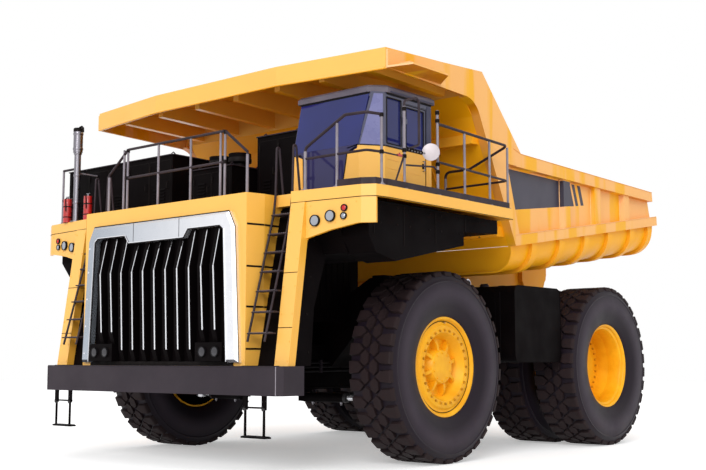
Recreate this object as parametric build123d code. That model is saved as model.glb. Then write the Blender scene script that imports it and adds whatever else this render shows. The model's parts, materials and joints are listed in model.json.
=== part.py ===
from build123d import *
import os
from math import atan2, cos, degrees, hypot, pi, radians, sin, tan

os.makedirs("parts", exist_ok=True)

# A rigid-frame mining dump truck, in millimetres: +X is the truck's own left,
# the front faces -Y, the ground is Z = 0. "aft" means behind the front axle.

# Axles and wheels
front_axle_y = -2020
wheelbase = 5250
tyre_r = 1530
tyre_w = 888
lug_count = 34
lug_depth = 55
lug_share = 0.62
bead_r = 790
bead_w = 600
front_track_x = 2955
rear_outer_x = 3065
rear_inner_x = 1905
seat_gap = 0.3
run_gap = 6

# Steering
kingpin_x = 2000
steer_arm_drop = 520
tie_arm = 760
cylinder_arm = 450
ram_base_x = 750
ram_base_aft = -600

# Chassis rails
rail_x0 = 620
rail_x1 = 1020
rail_low_z = 1150
rail_high_z = 1900
rail_end_aft = 6700

# Bumper
bumper_half_w = 2817
bumper_front_aft = -3322
bumper_depth = 513
bumper_low_z = 1130
bumper_top_z = 1550

# Decks
deck_half_w = 3970
deck_top_z = 4120
deck_lip = 180
deck_plate_t = 12
deck_rear_aft = 1000

# Dump bed
pivot_aft = 6400
pivot_z = 2780
pivot_pin_r = 70
bed_half_w = 3560
wall_x = 3400
wall_t = 25
floor_slope = 8.9
floor_t = 30
trough_front_z = 3150
trough_tail_z = 3955
trough_front_aft = 1800
trough_corner_r = 450
rail_band_h = 185
bed_tail_aft = 7360
canopy_lip_aft = -1800
canopy_nose_aft = -2090
canopy_nose_half = 1500
canopy_lip_low_z = 6018
canopy_lip_h = 310
canopy_rear_aft = 756
canopy_rear_z = 6470
canopy_under_z = 5958
beam_x0 = 640
beam_x1 = 1020

# Hoist cylinders
hoist_x = 1290
hoist_base_aft = 2000
hoist_base_z = 1300
hoist_eye_aft = 3500
hoist_eye_z = 3120
hoist_barrel_r = 125
hoist_stage_r = 96
hoist_rod_r = 70

# Cab
cab_right_x = 1700
cab_left_x = 3300
cab_front_aft = -1880
cab_brow_aft = -1700
cab_rear_aft = -350
cab_belt_z = 4900
cab_roof_z = 5730
cab_top_z = 5845
cab_wall_t = 60
cab_corner_x = 240
cab_corner_y = 330
glass_t = 10

# Handrails
rail_tube_r = 22
post_r = 19
rail_bend_r = 90


def aft(distance):
    """Y of a place this far behind the front axle."""
    return front_axle_y + distance


rear_axle_y = aft(wheelbase)


def block(x0, x1, y0, y1, z0, z1):
    """A box between two opposite corners."""
    middle = Pos((x0 + x1) / 2, (y0 + y1) / 2, (z0 + z1) / 2)
    return middle * Box(x1 - x0, y1 - y0, z1 - z0)


def slab_x(outline, x0, x1):
    """Extrude an outline of (aft, z) points from x0 to x1."""
    face = make_face(Polyline(*[(0, aft(a), z) for a, z in outline], close=True))
    return Pos(x0, 0, 0) * extrude(face, amount=x1 - x0, dir=(1, 0, 0))


def slab_y(outline, aft0, aft1):
    """Extrude an outline of (x, z) points between two places along the truck."""
    face = make_face(Polyline(*[(x, 0, z) for x, z in outline], close=True))
    return Pos(0, aft(aft0), 0) * extrude(face, amount=aft1 - aft0, dir=(0, 1, 0))


def slab_z(outline, z0, z1):
    """Extrude an outline of (x, aft) points between two heights."""
    face = make_face(Polyline(*[(x, aft(a), 0) for x, a in outline], close=True))
    return Pos(0, 0, z0) * extrude(face, amount=z1 - z0, dir=(0, 0, 1))


def rod(start, end, radius, extra=0):
    """A round bar between two points, longer by extra at each end."""
    a, b = Vector(*start), Vector(*end)
    along = (b - a).normalized()
    plane = Plane(origin=a - along * extra, z_dir=along)
    return extrude(plane * Circle(radius), amount=(b - a).length + 2 * extra)


def bent_rail(points, radius=rail_tube_r, bend=rail_bend_r):
    """A round bar along a row of points, with an arc at every corner."""
    if len(points) == 2:
        return rod(*points, radius)
    path = FilletPolyline(*points, radius=bend)
    return sweep(Plane(origin=path @ 0, z_dir=path % 0) * Circle(radius), path=path)


def cross_pin(x0, x1, place_aft, z, radius):
    """A pin or boss along X."""
    return rod((x0, aft(place_aft), z), (x1, aft(place_aft), z), radius)


def upright(x, place_aft, z0, z1, radius):
    """A round bar along Z."""
    return rod((x, aft(place_aft), z0), (x, aft(place_aft), z1), radius)


def both_sides(shape):
    """A shape and its mirror image across the truck's middle plane."""
    return [shape, mirror(shape, about=Plane.YZ)]


def joined(shapes):
    """One shape from many that touch or overlap."""
    shapes = list(shapes)
    return shapes[0].fuse(*shapes[1:]) if len(shapes) > 1 else shapes[0]


def save(name, *shapes):
    """Write one node: its solids side by side in one STEP file."""
    solids = [s for shape in shapes for s in shape.solids()]
    whole = solids[0] if len(solids) == 1 else Compound(children=solids)
    export_step(whole, f"parts/{name}.step")


# Wheels

def ring(outline):
    """Revolve an outline of (x, radius) points about the wheel's own axis."""
    return revolve(make_face(Polyline(*outline, close=True)), Axis.X)


def lug_band(half):
    """The tread: a ring of flat-topped lugs with V grooves, pushed from shoulder to shoulder."""
    root_r = tyre_r - lug_depth
    step = 2 * pi / lug_count
    edge = lug_share * step / 2
    outline = []
    for k in range(lug_count):
        for turn, r in ((-edge, tyre_r / cos(edge)), (edge, tyre_r / cos(edge)),
                        (step / 2, root_r)):
            outline.append((0, r * sin(k * step + turn), r * cos(k * step + turn)))
    face = make_face(Polyline(*outline, close=True))
    band = Pos(-half, 0, 0) * extrude(face, amount=2 * half, dir=(1, 0, 0))
    return band - rod((-half, 0, 0), (half, 0, 0), root_r - 60, 1)


def tyre():
    """One tyre about the origin, with its lugs."""
    half = tyre_w / 2
    shoulder_x = half - 46
    side = [
        # x, radius
        (bead_w / 2, bead_r),
        (bead_w / 2, bead_r + 50),
        (half - 14, 990),
        (half, 1230),
        (shoulder_x, tyre_r - lug_depth - 4),
    ]
    carcass = ring(side + [(-x, r) for x, r in reversed(side)])
    return carcass + lug_band(shoulder_x)


def front_rim():
    """A rim, its clamp ring, its dished centre with eight ribs and the hub, turned in one."""
    seat_r = bead_r - seat_gap
    half = bead_w / 2
    wheel = ring([
        # x, radius: seat and outer flange, gutter, clamp ring, dish, hub, then back inside
        (-half - 30, seat_r), (half + seat_gap, seat_r), (half + 8, seat_r + 40),
        (half + 30, seat_r + 40), (half + 30, seat_r - 30), (half - 15, seat_r - 50),
        (half - 15, 690), (half + 22, 655), (half + 22, 545), (130, 455), (130, 300),
        (272, 262), (272, 1), (190, 1), (190, spindle_r + 1), (-170, spindle_r + 1),
        (-170, 330), (60, 330), (60, 480), (230, 590), (230, seat_r - 100),
        (-half - 30, seat_r - 30)])
    ribs = [Rot(X=45 * k + 15) * block(100, 235, -24, 24, 250, 490) for k in range(8)]
    return joined([wheel] + ribs)


def rear_rims():
    """Both rims of one dual pair, open outside, joined to the final drive's hub."""
    seat_r = bead_r - seat_gap
    half = bead_w / 2
    shapes = []
    for x in (rear_inner_x, rear_outer_x):
        shapes.append(Pos(x, 0, 0) * ring([
            (-half - 30, seat_r), (half + 30, seat_r), (half + 30, seat_r - 40),
            (half - 60, seat_r - 90), (-half - 30, seat_r - 90)]))
        shapes.append(Pos(x, 0, 0) * ring([
            (half + seat_gap, seat_r), (half + 8, seat_r + 40), (half + 30, seat_r + 40),
            (half + 30, seat_r)]))
        shapes.append(Pos(x, 0, 0) * ring([
            (-half - 30, seat_r), (-half - 30, seat_r + 40), (-half - 8, seat_r + 40),
            (-half - seat_gap, seat_r)]))
    spacer = ring([(rear_inner_x + half - 40, seat_r - 91), (rear_inner_x + half - 40, seat_r - 50),
                   (rear_outer_x - half + 40, seat_r - 50), (rear_outer_x - half + 40, seat_r - 91)])
    web_x = rear_outer_x - half + 20
    web = ring([(web_x, spindle_r + 1), (web_x, seat_r - 80), (web_x + 40, seat_r - 80),
                (web_x + 40, 330), (web_x + 110, 290), (web_x + 110, 1), (web_x + 80, 1),
                (web_x + 80, spindle_r + 1)])
    return joined(shapes + [spacer, web])


spindle_r = 150


def save_wheels():
    """Tyres and rims, each pair of duals as one body."""
    one_tyre = tyre()
    rim = front_rim()
    axle = Pos(front_track_x, front_axle_y, tyre_r)
    left_tyre = axle * one_tyre
    left_rim = axle * rim
    for side, turn in (("left", False), ("right", True)):
        for name, shape in (("front_tyre", left_tyre), ("front_rim", left_rim)):
            save(f"{name}_{side}", mirror(shape, about=Plane.YZ) if turn else shape)
    duals = [Pos(x, rear_axle_y, tyre_r) * one_tyre for x in (rear_inner_x, rear_outer_x)]
    rims = Pos(0, rear_axle_y, tyre_r) * rear_rims()
    save("rear_tyres_left", *duals)
    save("rear_tyres_right", *[mirror(t, about=Plane.YZ) for t in duals])
    save("rear_rims_left", rims)
    save("rear_rims_right", mirror(rims, about=Plane.YZ))


# Steering

strut_r = 170
strut_rod_r = 110
knuckle_boss_r = 230
knuckle_low_z = 1130
knuckle_high_z = 1900
tie_pin_r = 30


def knuckle():
    """The left steering knuckle, its spindle and its two arms."""
    arm_z = tyre_r - steer_arm_drop
    boss = upright(kingpin_x, 0, knuckle_low_z, knuckle_high_z, knuckle_boss_r)
    spindle = rod((kingpin_x, front_axle_y, tyre_r),
                  (front_track_x + 150, front_axle_y, tyre_r), spindle_r)
    shoulder = rod((kingpin_x, front_axle_y, tyre_r),
                   (front_track_x - 200, front_axle_y, tyre_r), spindle_r + 80)
    tie = slab_z([(kingpin_x - 90, tie_arm + 90), (kingpin_x - 230, 0), (kingpin_x + 150, 0),
                  (kingpin_x + 90, tie_arm + 90)], arm_z + 60, arm_z + 130)
    ram = slab_z([(kingpin_x - 150, 0), (kingpin_x - 70, -cylinder_arm - 80),
                  (kingpin_x + 70, -cylinder_arm - 80), (kingpin_x + 150, 0)],
                 arm_z + 60, arm_z + 130)
    foot = upright(kingpin_x, 0, arm_z + 60, knuckle_low_z + 10, knuckle_boss_r - 30)
    tie = tie - upright(kingpin_x, tie_arm, arm_z, arm_z + 200, tie_pin_r + 1)
    body = joined([boss, spindle, shoulder, tie, ram, foot])
    return body - upright(kingpin_x, 0, tyre_r + 260, knuckle_high_z + 50, strut_rod_r + 1)


def tie_rod():
    """The track rod between both knuckles, with an eye under each arm."""
    z = tyre_r - steer_arm_drop
    ends = [(side * kingpin_x, aft(tie_arm), z) for side in (-1, 1)]
    eyes = [joined([upright(side * kingpin_x, tie_arm, z - 55, z + 60 - run_gap, 75),
                    upright(side * kingpin_x, tie_arm, z, z + 125, tie_pin_r)])
            for side in (-1, 1)]
    return joined([rod(ends[0], ends[1], 45)] + eyes)


ram_barrel_r = 75
ram_rod_r = 40
ram_z = tyre_r - steer_arm_drop
ram_barrel_len = 900


def steering_ram():
    """Barrel and rod of the left steering cylinder, from the frame to the knuckle."""
    base = (ram_base_x, aft(ram_base_aft), ram_z)
    eye = (kingpin_x, aft(-cylinder_arm), ram_z)
    run = hypot(eye[0] - base[0], eye[1] - base[1])
    unit = ((eye[0] - base[0]) / run, (eye[1] - base[1]) / run)

    def along(s):
        return (base[0] + unit[0] * s, base[1] + unit[1] * s, ram_z)

    barrel = joined([rod(along(0), along(ram_barrel_len), ram_barrel_r),
                     upright(ram_base_x, ram_base_aft, ram_z - 60, ram_z + 60, 85)])
    barrel = barrel - rod(along(120), along(ram_barrel_len + 5), ram_rod_r + 1)
    barrel = barrel - upright(ram_base_x, ram_base_aft, ram_z - 90, ram_z + 90, 36)
    shaft = joined([rod(along(430), along(run), ram_rod_r),
                    upright(kingpin_x, -cylinder_arm, ram_z - 50, ram_z + 60 - run_gap, 80)])
    return barrel, shaft


def save_steering():
    """Knuckles, track rod and steering cylinders."""
    left = knuckle()
    save("knuckle_left", left)
    save("knuckle_right", mirror(left, about=Plane.YZ))
    save("tie_rod", tie_rod())
    barrel, shaft = steering_ram()
    for side, flip in (("left", False), ("right", True)):
        save(f"steering_barrel_{side}", mirror(barrel, about=Plane.YZ) if flip else barrel)
        save(f"steering_rod_{side}", mirror(shaft, about=Plane.YZ) if flip else shaft)


# Chassis

bed_beam_low = [
    # aft, z of the lower edge of the bed's long beams
    (1950, 3000), (6560, 3240)]
pad_h = 60
nose_half = 330
nose_pin_aft = 3330
nose_pin_z = 1650
nose_pin_r = 80
tow_aft = 6850
tow_z = 2720
tow_hole_r = 45
hood_t = 25


def beam_low_z(a):
    """Height of the bed beam's lower edge at a place along the truck."""
    (a0, z0), (a1, z1) = bed_beam_low
    return z0 + (z1 - z0) * (a - a0) / (a1 - a0)


def chassis_rail():
    """The left box rail, which steps up over the rear axle."""
    return slab_x([
        # aft, z
        (bumper_front_aft + bumper_depth + seat_gap, rail_low_z),
        (bumper_front_aft + bumper_depth + seat_gap, rail_high_z),
        (900, rail_high_z),
        (2100, beam_low_z(2100) - pad_h),
        (pivot_aft + 130, beam_low_z(pivot_aft + 130) - pad_h),
        (rail_end_aft, pivot_z + 300),
        (rail_end_aft, pivot_z - 200),
        (rail_end_aft - 250, pivot_z - 420),
        (3000, pivot_z - 560),
        (1500, rail_low_z),
    ], rail_x0, rail_x1)


def save_chassis():
    """Rails, cross members, rest pads, pivot pins and the brackets on them."""
    rail = chassis_rail()
    pivot = cross_pin(rail_x0, rail_x1 + 150, pivot_aft, pivot_z, pivot_pin_r)
    pads = [block(rail_x0 + 40, rail_x1 - 40, aft(a), aft(a + 260),
                  beam_low_z(a + 130) - pad_h - 60, beam_low_z(a) - seat_gap)
            for a in (2250, 3300, 4350, 5400)]
    ram_lug = [block(ram_base_x - 110, ram_base_x + 110, aft(ram_base_aft - 110),
                     aft(ram_base_aft + 110), ram_z + ram_barrel_r + run_gap, rail_low_z + 20),
               upright(ram_base_x, ram_base_aft, ram_z - 65, rail_low_z, 35)]
    hoist_pin = cross_pin(rail_x1 - 20, hoist_x + 90, hoist_base_aft, hoist_base_z, 60)
    hoist_lug = block(rail_x1 - 20, hoist_x - hoist_barrel_r - run_gap, aft(hoist_base_aft - 200),
                      aft(hoist_base_aft + 200), hoist_base_z - 150, hoist_base_z + 260)
    strut_arm = slab_y([(rail_x1 - 20, 1450), (rail_x1 - 20, 2500), (kingpin_x - 60, 3000),
                        (kingpin_x + 240, 3000), (kingpin_x + 240, 2250),
                        (kingpin_x - 300, 2150)], -260, 260)
    strut_tower = block(rail_x1 - 400, rail_x1, aft(-260), aft(260), rail_high_z - 20, 2500)
    horn = block(rail_x1 - 400, rail_x1, aft(-2700), aft(-2450), rail_high_z - 20,
                 deck_top_z - hood_t - seat_gap)
    rear_horn = block(rail_x1 - 400, rail_x1, aft(250), aft(520), rail_high_z - 20,
                      deck_top_z - deck_plate_t - seat_gap)
    drop = block(nose_half + 90, nose_half + 230, aft(nose_pin_aft - 130),
                 aft(nose_pin_aft + 130), nose_pin_z - 100, 2400)
    drop = drop - cross_pin(0, 2000, nose_pin_aft, nose_pin_z, nose_pin_r + seat_gap)
    left = joined([rail, pivot, *pads, *ram_lug, hoist_pin, hoist_lug, strut_arm, strut_tower,
                   horn, rear_horn])
    left = left - upright(kingpin_x, 0, knuckle_high_z - 100, 3100, strut_r + seat_gap)
    left = left - upright(kingpin_x, 0, 1000, knuckle_high_z + 60, knuckle_boss_r + 260)
    members = [
        # aft, z, half-height and half-depth of each cross member
        (-2650, 1500, 300, 120), (-1000, 1290, 110, 130), (1100, 1525, 330, 150),
        (nose_pin_aft, 2600, 240, 150), (6250, 2750, 160, 130), (6640, 2780, 110, 55)]
    half = rail_x0 - seat_gap
    cross = [block(-half, half, aft(a - d), aft(a + d), z - h, z + h)
             for a, z, h, d in members]
    tow = block(-70, 70, aft(rail_end_aft - 60), aft(tow_aft + 90), tow_z - 60, tow_z + 60)
    tow = tow - upright(0, tow_aft, tow_z - 90, tow_z + 90, tow_hole_r)
    cross[3] = joined([cross[3]] + both_sides(drop))
    cross[5] = joined([cross[5], tow])
    save("chassis_rail_left", left)
    save("chassis_rail_right", mirror(left, about=Plane.YZ))
    save("cross_members", *cross)


def save_bumper():
    """The heavy front bumper with bevelled ends."""
    back = bumper_front_aft + bumper_depth
    bar = slab_z([(-bumper_half_w, back), (-bumper_half_w, bumper_front_aft + 90),
                  (-bumper_half_w + 90, bumper_front_aft), (bumper_half_w - 90, bumper_front_aft),
                  (bumper_half_w, bumper_front_aft + 90), (bumper_half_w, back)],
                 bumper_low_z, bumper_top_z)
    save("front_bumper", bar)


def save_power_and_axle():
    """The engine as one block, the rear axle and the suspension struts."""
    save("engine_block", block(-560, 560, aft(-2300), aft(-300), 1400 + seat_gap, 3080))
    middle = rod((-700, rear_axle_y, tyre_r), (700, rear_axle_y, tyre_r), 560)
    tubes = rod((-2720, rear_axle_y, tyre_r), (2720, rear_axle_y, tyre_r), 400)
    stub_x = rear_outer_x - bead_w / 2 + 90
    stubs = rod((-stub_x, rear_axle_y, tyre_r), (stub_x, rear_axle_y, tyre_r), spindle_r)
    nose = slab_x([(nose_pin_aft - 80, 1500), (nose_pin_aft - 80, 1800), (3500, 1850),
                   (wheelbase, 2050), (wheelbase, 1000), (3500, 1400)], -nose_half, nose_half)
    nose_pin = cross_pin(-nose_half - 250, nose_half + 250, nose_pin_aft, nose_pin_z, nose_pin_r)
    strut_x = (rail_x0 + rail_x1) / 2
    rear_struts = []
    for side in (-1, 1):
        rear_struts.append(upright(side * strut_x, wheelbase, 1850, 2190, 150))
        rear_struts.append(upright(side * strut_x, wheelbase, 2180, 2306.9, 100))
    save("rear_axle_housing", joined([middle, tubes, stubs, nose, nose_pin] + rear_struts))
    left_front = joined([
        upright(kingpin_x, 0, knuckle_high_z + 70, 3050, strut_r),
        upright(kingpin_x, 0, tyre_r + 270, knuckle_high_z + 90, strut_rod_r)])
    save("front_struts", *both_sides(left_front))


# Bodies of the front

hood_front_aft = -3200
hood_low_half = 1960
hood_side_aft = -2850
hood_side_half = 2030
hood_back_aft = -2350
grille_low_z = 1600
grille_top_z = 3860
grille_half_top = 1780
grille_half_low = 1890


def save_hood():
    """The yellow front housing: two cheeks, a top and the frame round the grille."""
    outer = slab_z([(-hood_side_half, hood_back_aft), (-hood_side_half, hood_side_aft),
                    (-hood_low_half, hood_front_aft + 40), (hood_low_half, hood_front_aft + 40),
                    (hood_side_half, hood_side_aft), (hood_side_half, hood_back_aft)],
                   bumper_top_z + seat_gap, deck_top_z)
    t = hood_t
    inner = slab_z([(-hood_side_half + t, hood_back_aft - 9), (-hood_side_half + t, hood_side_aft),
                    (-hood_low_half + t, hood_front_aft + 40 + t),
                    (hood_low_half - t, hood_front_aft + 40 + t),
                    (hood_side_half - t, hood_side_aft), (hood_side_half - t, hood_back_aft - 9)],
                   bumper_top_z - 10, deck_top_z - t)
    rear = block(-hood_side_half - 9, hood_side_half + 9, aft(hood_back_aft) - 10,
                 aft(hood_back_aft) + 50, 0, deck_top_z - t)
    mouth = slab_y([(-1680, grille_low_z), (-1600, 3660), (1600, 3660), (1680, grille_low_z)],
                   hood_front_aft - 100, hood_front_aft + 200)
    save("hood", outer - inner - rear - mouth)


bar_count = 11
bar_pitch = 275
bar_w = 90


def save_grille():
    """Chrome surround and its kinked vertical bars."""
    outline = [(-grille_half_low, grille_low_z), (-grille_half_top, grille_top_z - 240),
               (-grille_half_top + 130, grille_top_z), (grille_half_top - 130, grille_top_z),
               (grille_half_top, grille_top_z - 240), (grille_half_low, grille_low_z)]
    opening = [(-1650, grille_low_z - 20), (-1560, 3590), (-1480, 3650), (-760, 3650),
               (-660, 3520), (660, 3520), (760, 3650), (1480, 3650), (1560, 3590),
               (1650, grille_low_z - 20)]
    front = hood_front_aft + 40 - seat_gap
    plate = slab_y(outline, front - 100, front)
    plate = chamfer(plate.edges().group_by(Axis.Y)[0], 45)
    save("grille_surround", plate - slab_y(opening, front - 120, front + 20))
    back_aft = hood_front_aft + 40 + hood_t + seat_gap
    back = slab_y([(-1740, grille_low_z - 30), (-1680, 3720), (1680, 3720),
                   (1740, grille_low_z - 30)], back_aft, back_aft + 40)
    bars = []
    for k in range(bar_count):
        x = (k - (bar_count - 1) / 2) * bar_pitch
        top = 3640 if abs(x) > 700 else 3510
        low = grille_low_z + 310 if abs(x) > 1000 else grille_low_z + 20
        bars.append(slab_x([(hood_front_aft + 90, low), (hood_front_aft + 90, top),
                            (hood_front_aft + 10, top), (bumper_front_aft + 10, 3050),
                            (hood_front_aft - 60, low + 180), (hood_front_aft, low)],
                           x - bar_w / 2, x + bar_w / 2))
    pods = [slab_y([(s * 1010, grille_low_z + 20), (s * 1010, grille_low_z + 300),
                    (s * 1600, grille_low_z + 300), (s * 1600, grille_low_z + 20)],
                   hood_front_aft - 90, hood_front_aft + 90) for s in (-1, 1)]
    save("grille_bars", joined([back] + bars + pods))


front_sweep = [
    # x, aft of the front edge of the decks, from the hood outwards
    (hood_side_half, -2600), (2495, -2600), (2500, -2775), (3740, -2640), (3930, -2530),
    (deck_half_w, -2300)]


def save_decks():
    """The walkway deck: a plate with a deep lip, open over the engine's front."""
    left = front_sweep + [(deck_half_w, deck_rear_aft), (1150, deck_rear_aft)]
    right = [(-x, a) for x, a in reversed(left)]
    top = slab_z(left + right, deck_top_z - deck_lip, deck_top_z)
    inset = 40
    pocket = slab_z([(hood_side_half + inset, -2560), (2540, -2560), (2545, -2730),
                     (3725, -2600), (3900, -2500), (deck_half_w - inset, -2290),
                     (deck_half_w - inset, deck_rear_aft - inset),
                     (hood_side_half + inset, deck_rear_aft - inset)],
                    deck_top_z - deck_lip - 10, deck_top_z - deck_plate_t)
    middle = block(-hood_side_half + inset, hood_side_half - inset, aft(hood_back_aft + 20),
                   aft(deck_rear_aft - inset), deck_top_z - deck_lip - 10,
                   deck_top_z - deck_plate_t)
    hood_hole = block(-hood_side_half - seat_gap, hood_side_half + seat_gap, aft(-3400),
                      aft(hood_back_aft) + seat_gap, deck_top_z - deck_lip - 20, deck_top_z + 10)
    save("deck", top - pocket - mirror(pocket, about=Plane.YZ) - middle - hood_hole)


column_x0 = 2500
column_x1 = 2780
column_low_aft = -3100
column_high_aft = -2775
column_depth = 140


def save_fenders():
    """Yellow lamp panels and columns, and the black boxes behind and under them."""
    top = deck_top_z - deck_lip - seat_gap
    low = bumper_top_z + seat_gap
    panel = front_sweep[2:5]
    strip = slab_z(panel + [(x - 20, a + 50) for x, a in reversed(panel)], 3380, top)
    cut = slab_y([(column_x1, 3300), (4100, 3300), (4100, 3570), (3670, 3570), (3200, 3500),
                  (column_x1, 3400)], -3400, -1500)
    cut = cut + block(2000, column_x1 - 10, aft(-3400), aft(-1500), 3300, 3990)
    column = slab_x([(column_low_aft, low), (column_high_aft, top),
                     (column_high_aft + column_depth, top), (column_low_aft + column_depth, low)],
                    column_x0, column_x1)
    save("front_columns", *both_sides(joined([strip - cut, column])))
    tail = [(-40, 3447), (-40, 3669), (deck_rear_aft - 60, 3719), (deck_rear_aft - 60, top)]
    box = slab_x([(-2480, top), (-2480, 3560), (-2300, 3200), (-1480, 3150)] + tail,
                 hood_side_half + 10, 3200)
    outer = slab_x([(-2420, top), (-2420, 3420), (-2250, 3180), (-1800, 3080)] + tail,
                   3150, 3700)
    back = column_low_aft + column_depth + seat_gap
    wing = slab_x([(back, low), (column_high_aft + column_depth + seat_gap, top), (-2450, top),
                   (-2200, 3300), (-2500, 2400), (-2560, low)], column_x0, column_x1 - 60)
    ladder_wall = slab_x([(-2960, low), (-2500, 3900), (-2400, 3900), (-2860, low)],
                         hood_side_half + seat_gap, column_x0 + 20)
    save("fender_boxes", *both_sides(joined([box, outer, wing, ladder_wall])))


# Dump bed: everything here moves with the bed

slope = tan(radians(floor_slope))
rail_low_front = (1740, 3595)
hoop_h = 65
hoop_w = 190
hoop_places = (620, 1600, 2560, 3520, 4500, 5320)


def rail_low_at(a):
    """Height of the lower edge of the side's lower band."""
    return rail_low_front[1] + (a - rail_low_front[0]) * slope


arch_r = 450
trough_lean = degrees(atan2(trough_tail_z - trough_front_z, bed_tail_aft - trough_front_aft))


def trough(grow, y0, y1):
    """The solid form of the load floor's round-cornered trough, larger by grow."""
    half = wall_x + 50 + grow
    solid = block(-half, half, y0, y1, -grow, 1500)
    low = solid.edges().filter_by(Axis.Y).sort_by(Axis.Z)[:2]
    solid = fillet(low, trough_corner_r + grow)
    return Pos(0, aft(trough_front_aft), trough_front_z) * Rot(X=trough_lean) * solid


def bed_floor():
    """The trough under the side bands, with hoops round it and its closed front."""
    skin = trough(0, -100, 6000) - trough(-floor_t, -200, 6100)
    hoops = [trough(hoop_h, a, a + hoop_w) - trough(-floor_t / 2, a - 10, a + hoop_w + 10)
             for a in hoop_places]
    front = slab_x([(1740, 3600 - seat_gap), (1780, 3620 - seat_gap), (1990, 3150),
                    (1930, 3100)], -4000, 4000) & trough(0, -500, 6000)
    cover = [
        # aft, z of the space under the side bands that the trough may fill
        (1740, rail_low_at(1740) - seat_gap), (1930, 2950), (bed_tail_aft - 60, 3600),
        (bed_tail_aft - 5, rail_low_at(bed_tail_aft - 5) - seat_gap)]
    return joined([skin, front] + hoops) & slab_x(cover, -4000, 4000)


def arch(x0):
    """The cheek's outline from x0 out, with the rounded corner under the canopy."""
    corner = (551, canopy_under_z)
    solid = slab_x([(1740, rail_low_at(1740)), corner, (canopy_lip_aft + 10, canopy_lip_low_z),
                    (canopy_lip_aft + 10, canopy_lip_low_z + canopy_lip_h - 20),
                    (canopy_rear_aft, canopy_rear_z), (1956, 5235), (1956, 5000),
                    (1500, 5000), (1900, rail_low_at(1740) + 100)], x0, bed_half_w)
    edges = solid.edges().filter_by(Axis.X)
    return fillet(edges.sort_by_distance((x0, aft(corner[0]), corner[1]))[0], arch_r)


def save_bed():
    """The bed in its separate panels."""
    floor = bed_floor()
    beams = []
    for s in (1, -1):
        x0, x1 = sorted((s * beam_x0, s * beam_x1))
        beams.append(slab_x([(2000, beam_low_z(2000)), (6900, beam_low_z(6900)),
                             (7050, 3420), (7100, 3930), (2000, 3200)], x0, x1))
        e0, e1 = sorted((s * (rail_x1 + run_gap), s * (rail_x1 + 100)))
        ear = slab_x([(5900, 3330), (pivot_aft - 130, pivot_z - 60), (pivot_aft, pivot_z - 150),
                      (pivot_aft + 130, pivot_z - 60), (6900, 3500), (6900, 3800),
                      (5900, 3700)], e0, e1)
        beams.append(ear - cross_pin(-2000, 2000, pivot_aft, pivot_z, pivot_pin_r + 1))
        h0, h1 = sorted((s * (beam_x1 + run_gap), s * (hoist_x - hoist_rod_r - run_gap)))
        beams.append(slab_x([(hoist_eye_aft - 200, 3380), (hoist_eye_aft - 90, hoist_eye_z - 90),
                             (hoist_eye_aft + 90, hoist_eye_z - 90),
                             (hoist_eye_aft + 200, 3430)], h0, h1))
    save("bed_floor", joined([floor] + beams))
    t = 40
    wall = slab_x([(1740, 3600), (881, 5321), (679, 5715), (448, 5962), (448 - 60, 6020),
                   (448 + 30, 6020), (679 + t, 5730), (881 + t, 5335), (1740 + t, 3620)],
                  -wall_x + seat_gap, wall_x - seat_gap)
    girts = [slab_x([(a - 150, z - 30), (a - 90, z + 150), (a + 5, z + 150), (a + 90, z - 20)],
                    -wall_x + 40, wall_x - 40)
             for a, z in ((1600, 3780), (850, 5290))]
    save("bed_front_wall", joined([wall] + girts))
    side = slab_x([(1740, rail_low_at(1740)), (881, 5321), (800, 5500), (1956, 5230),
                   (7155, 5152), (7360, rail_low_at(7360))], wall_x, wall_x + wall_t)
    top_rail = slab_x([(1700, 5300), (1956, 5230), (7155, 5152), (7175, 4960), (1800, 4990)],
                      wall_x, bed_half_w)
    low_band = slab_x([(1740, rail_low_at(1740)), (1660, rail_low_at(1740) + rail_band_h),
                       (7340, rail_low_at(7340) + rail_band_h), (7360, rail_low_at(7360))],
                      wall_x, bed_half_w)
    posts = [slab_x([(a, rail_low_at(a) + 100), (a, 5050), (a + 240, 5050),
                     (a + 240, rail_low_at(a) + 100)], wall_x + 5, bed_half_w - 40)
             for a in (3500, 4700, 5930)]
    cheek = arch(bed_half_w - 40)
    edge = arch(wall_x)
    flange = (edge - Pos(0, 38, 28) * edge) & block(wall_x, bed_half_w, aft(300), aft(1800),
                                                   3600, canopy_under_z + 50)
    left = joined([side, top_rail, low_band, cheek, flange] + posts)
    save("bed_side_left", joined([left, save_canopy()]))
    save("bed_side_right", mirror(left, about=Plane.YZ))


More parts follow.
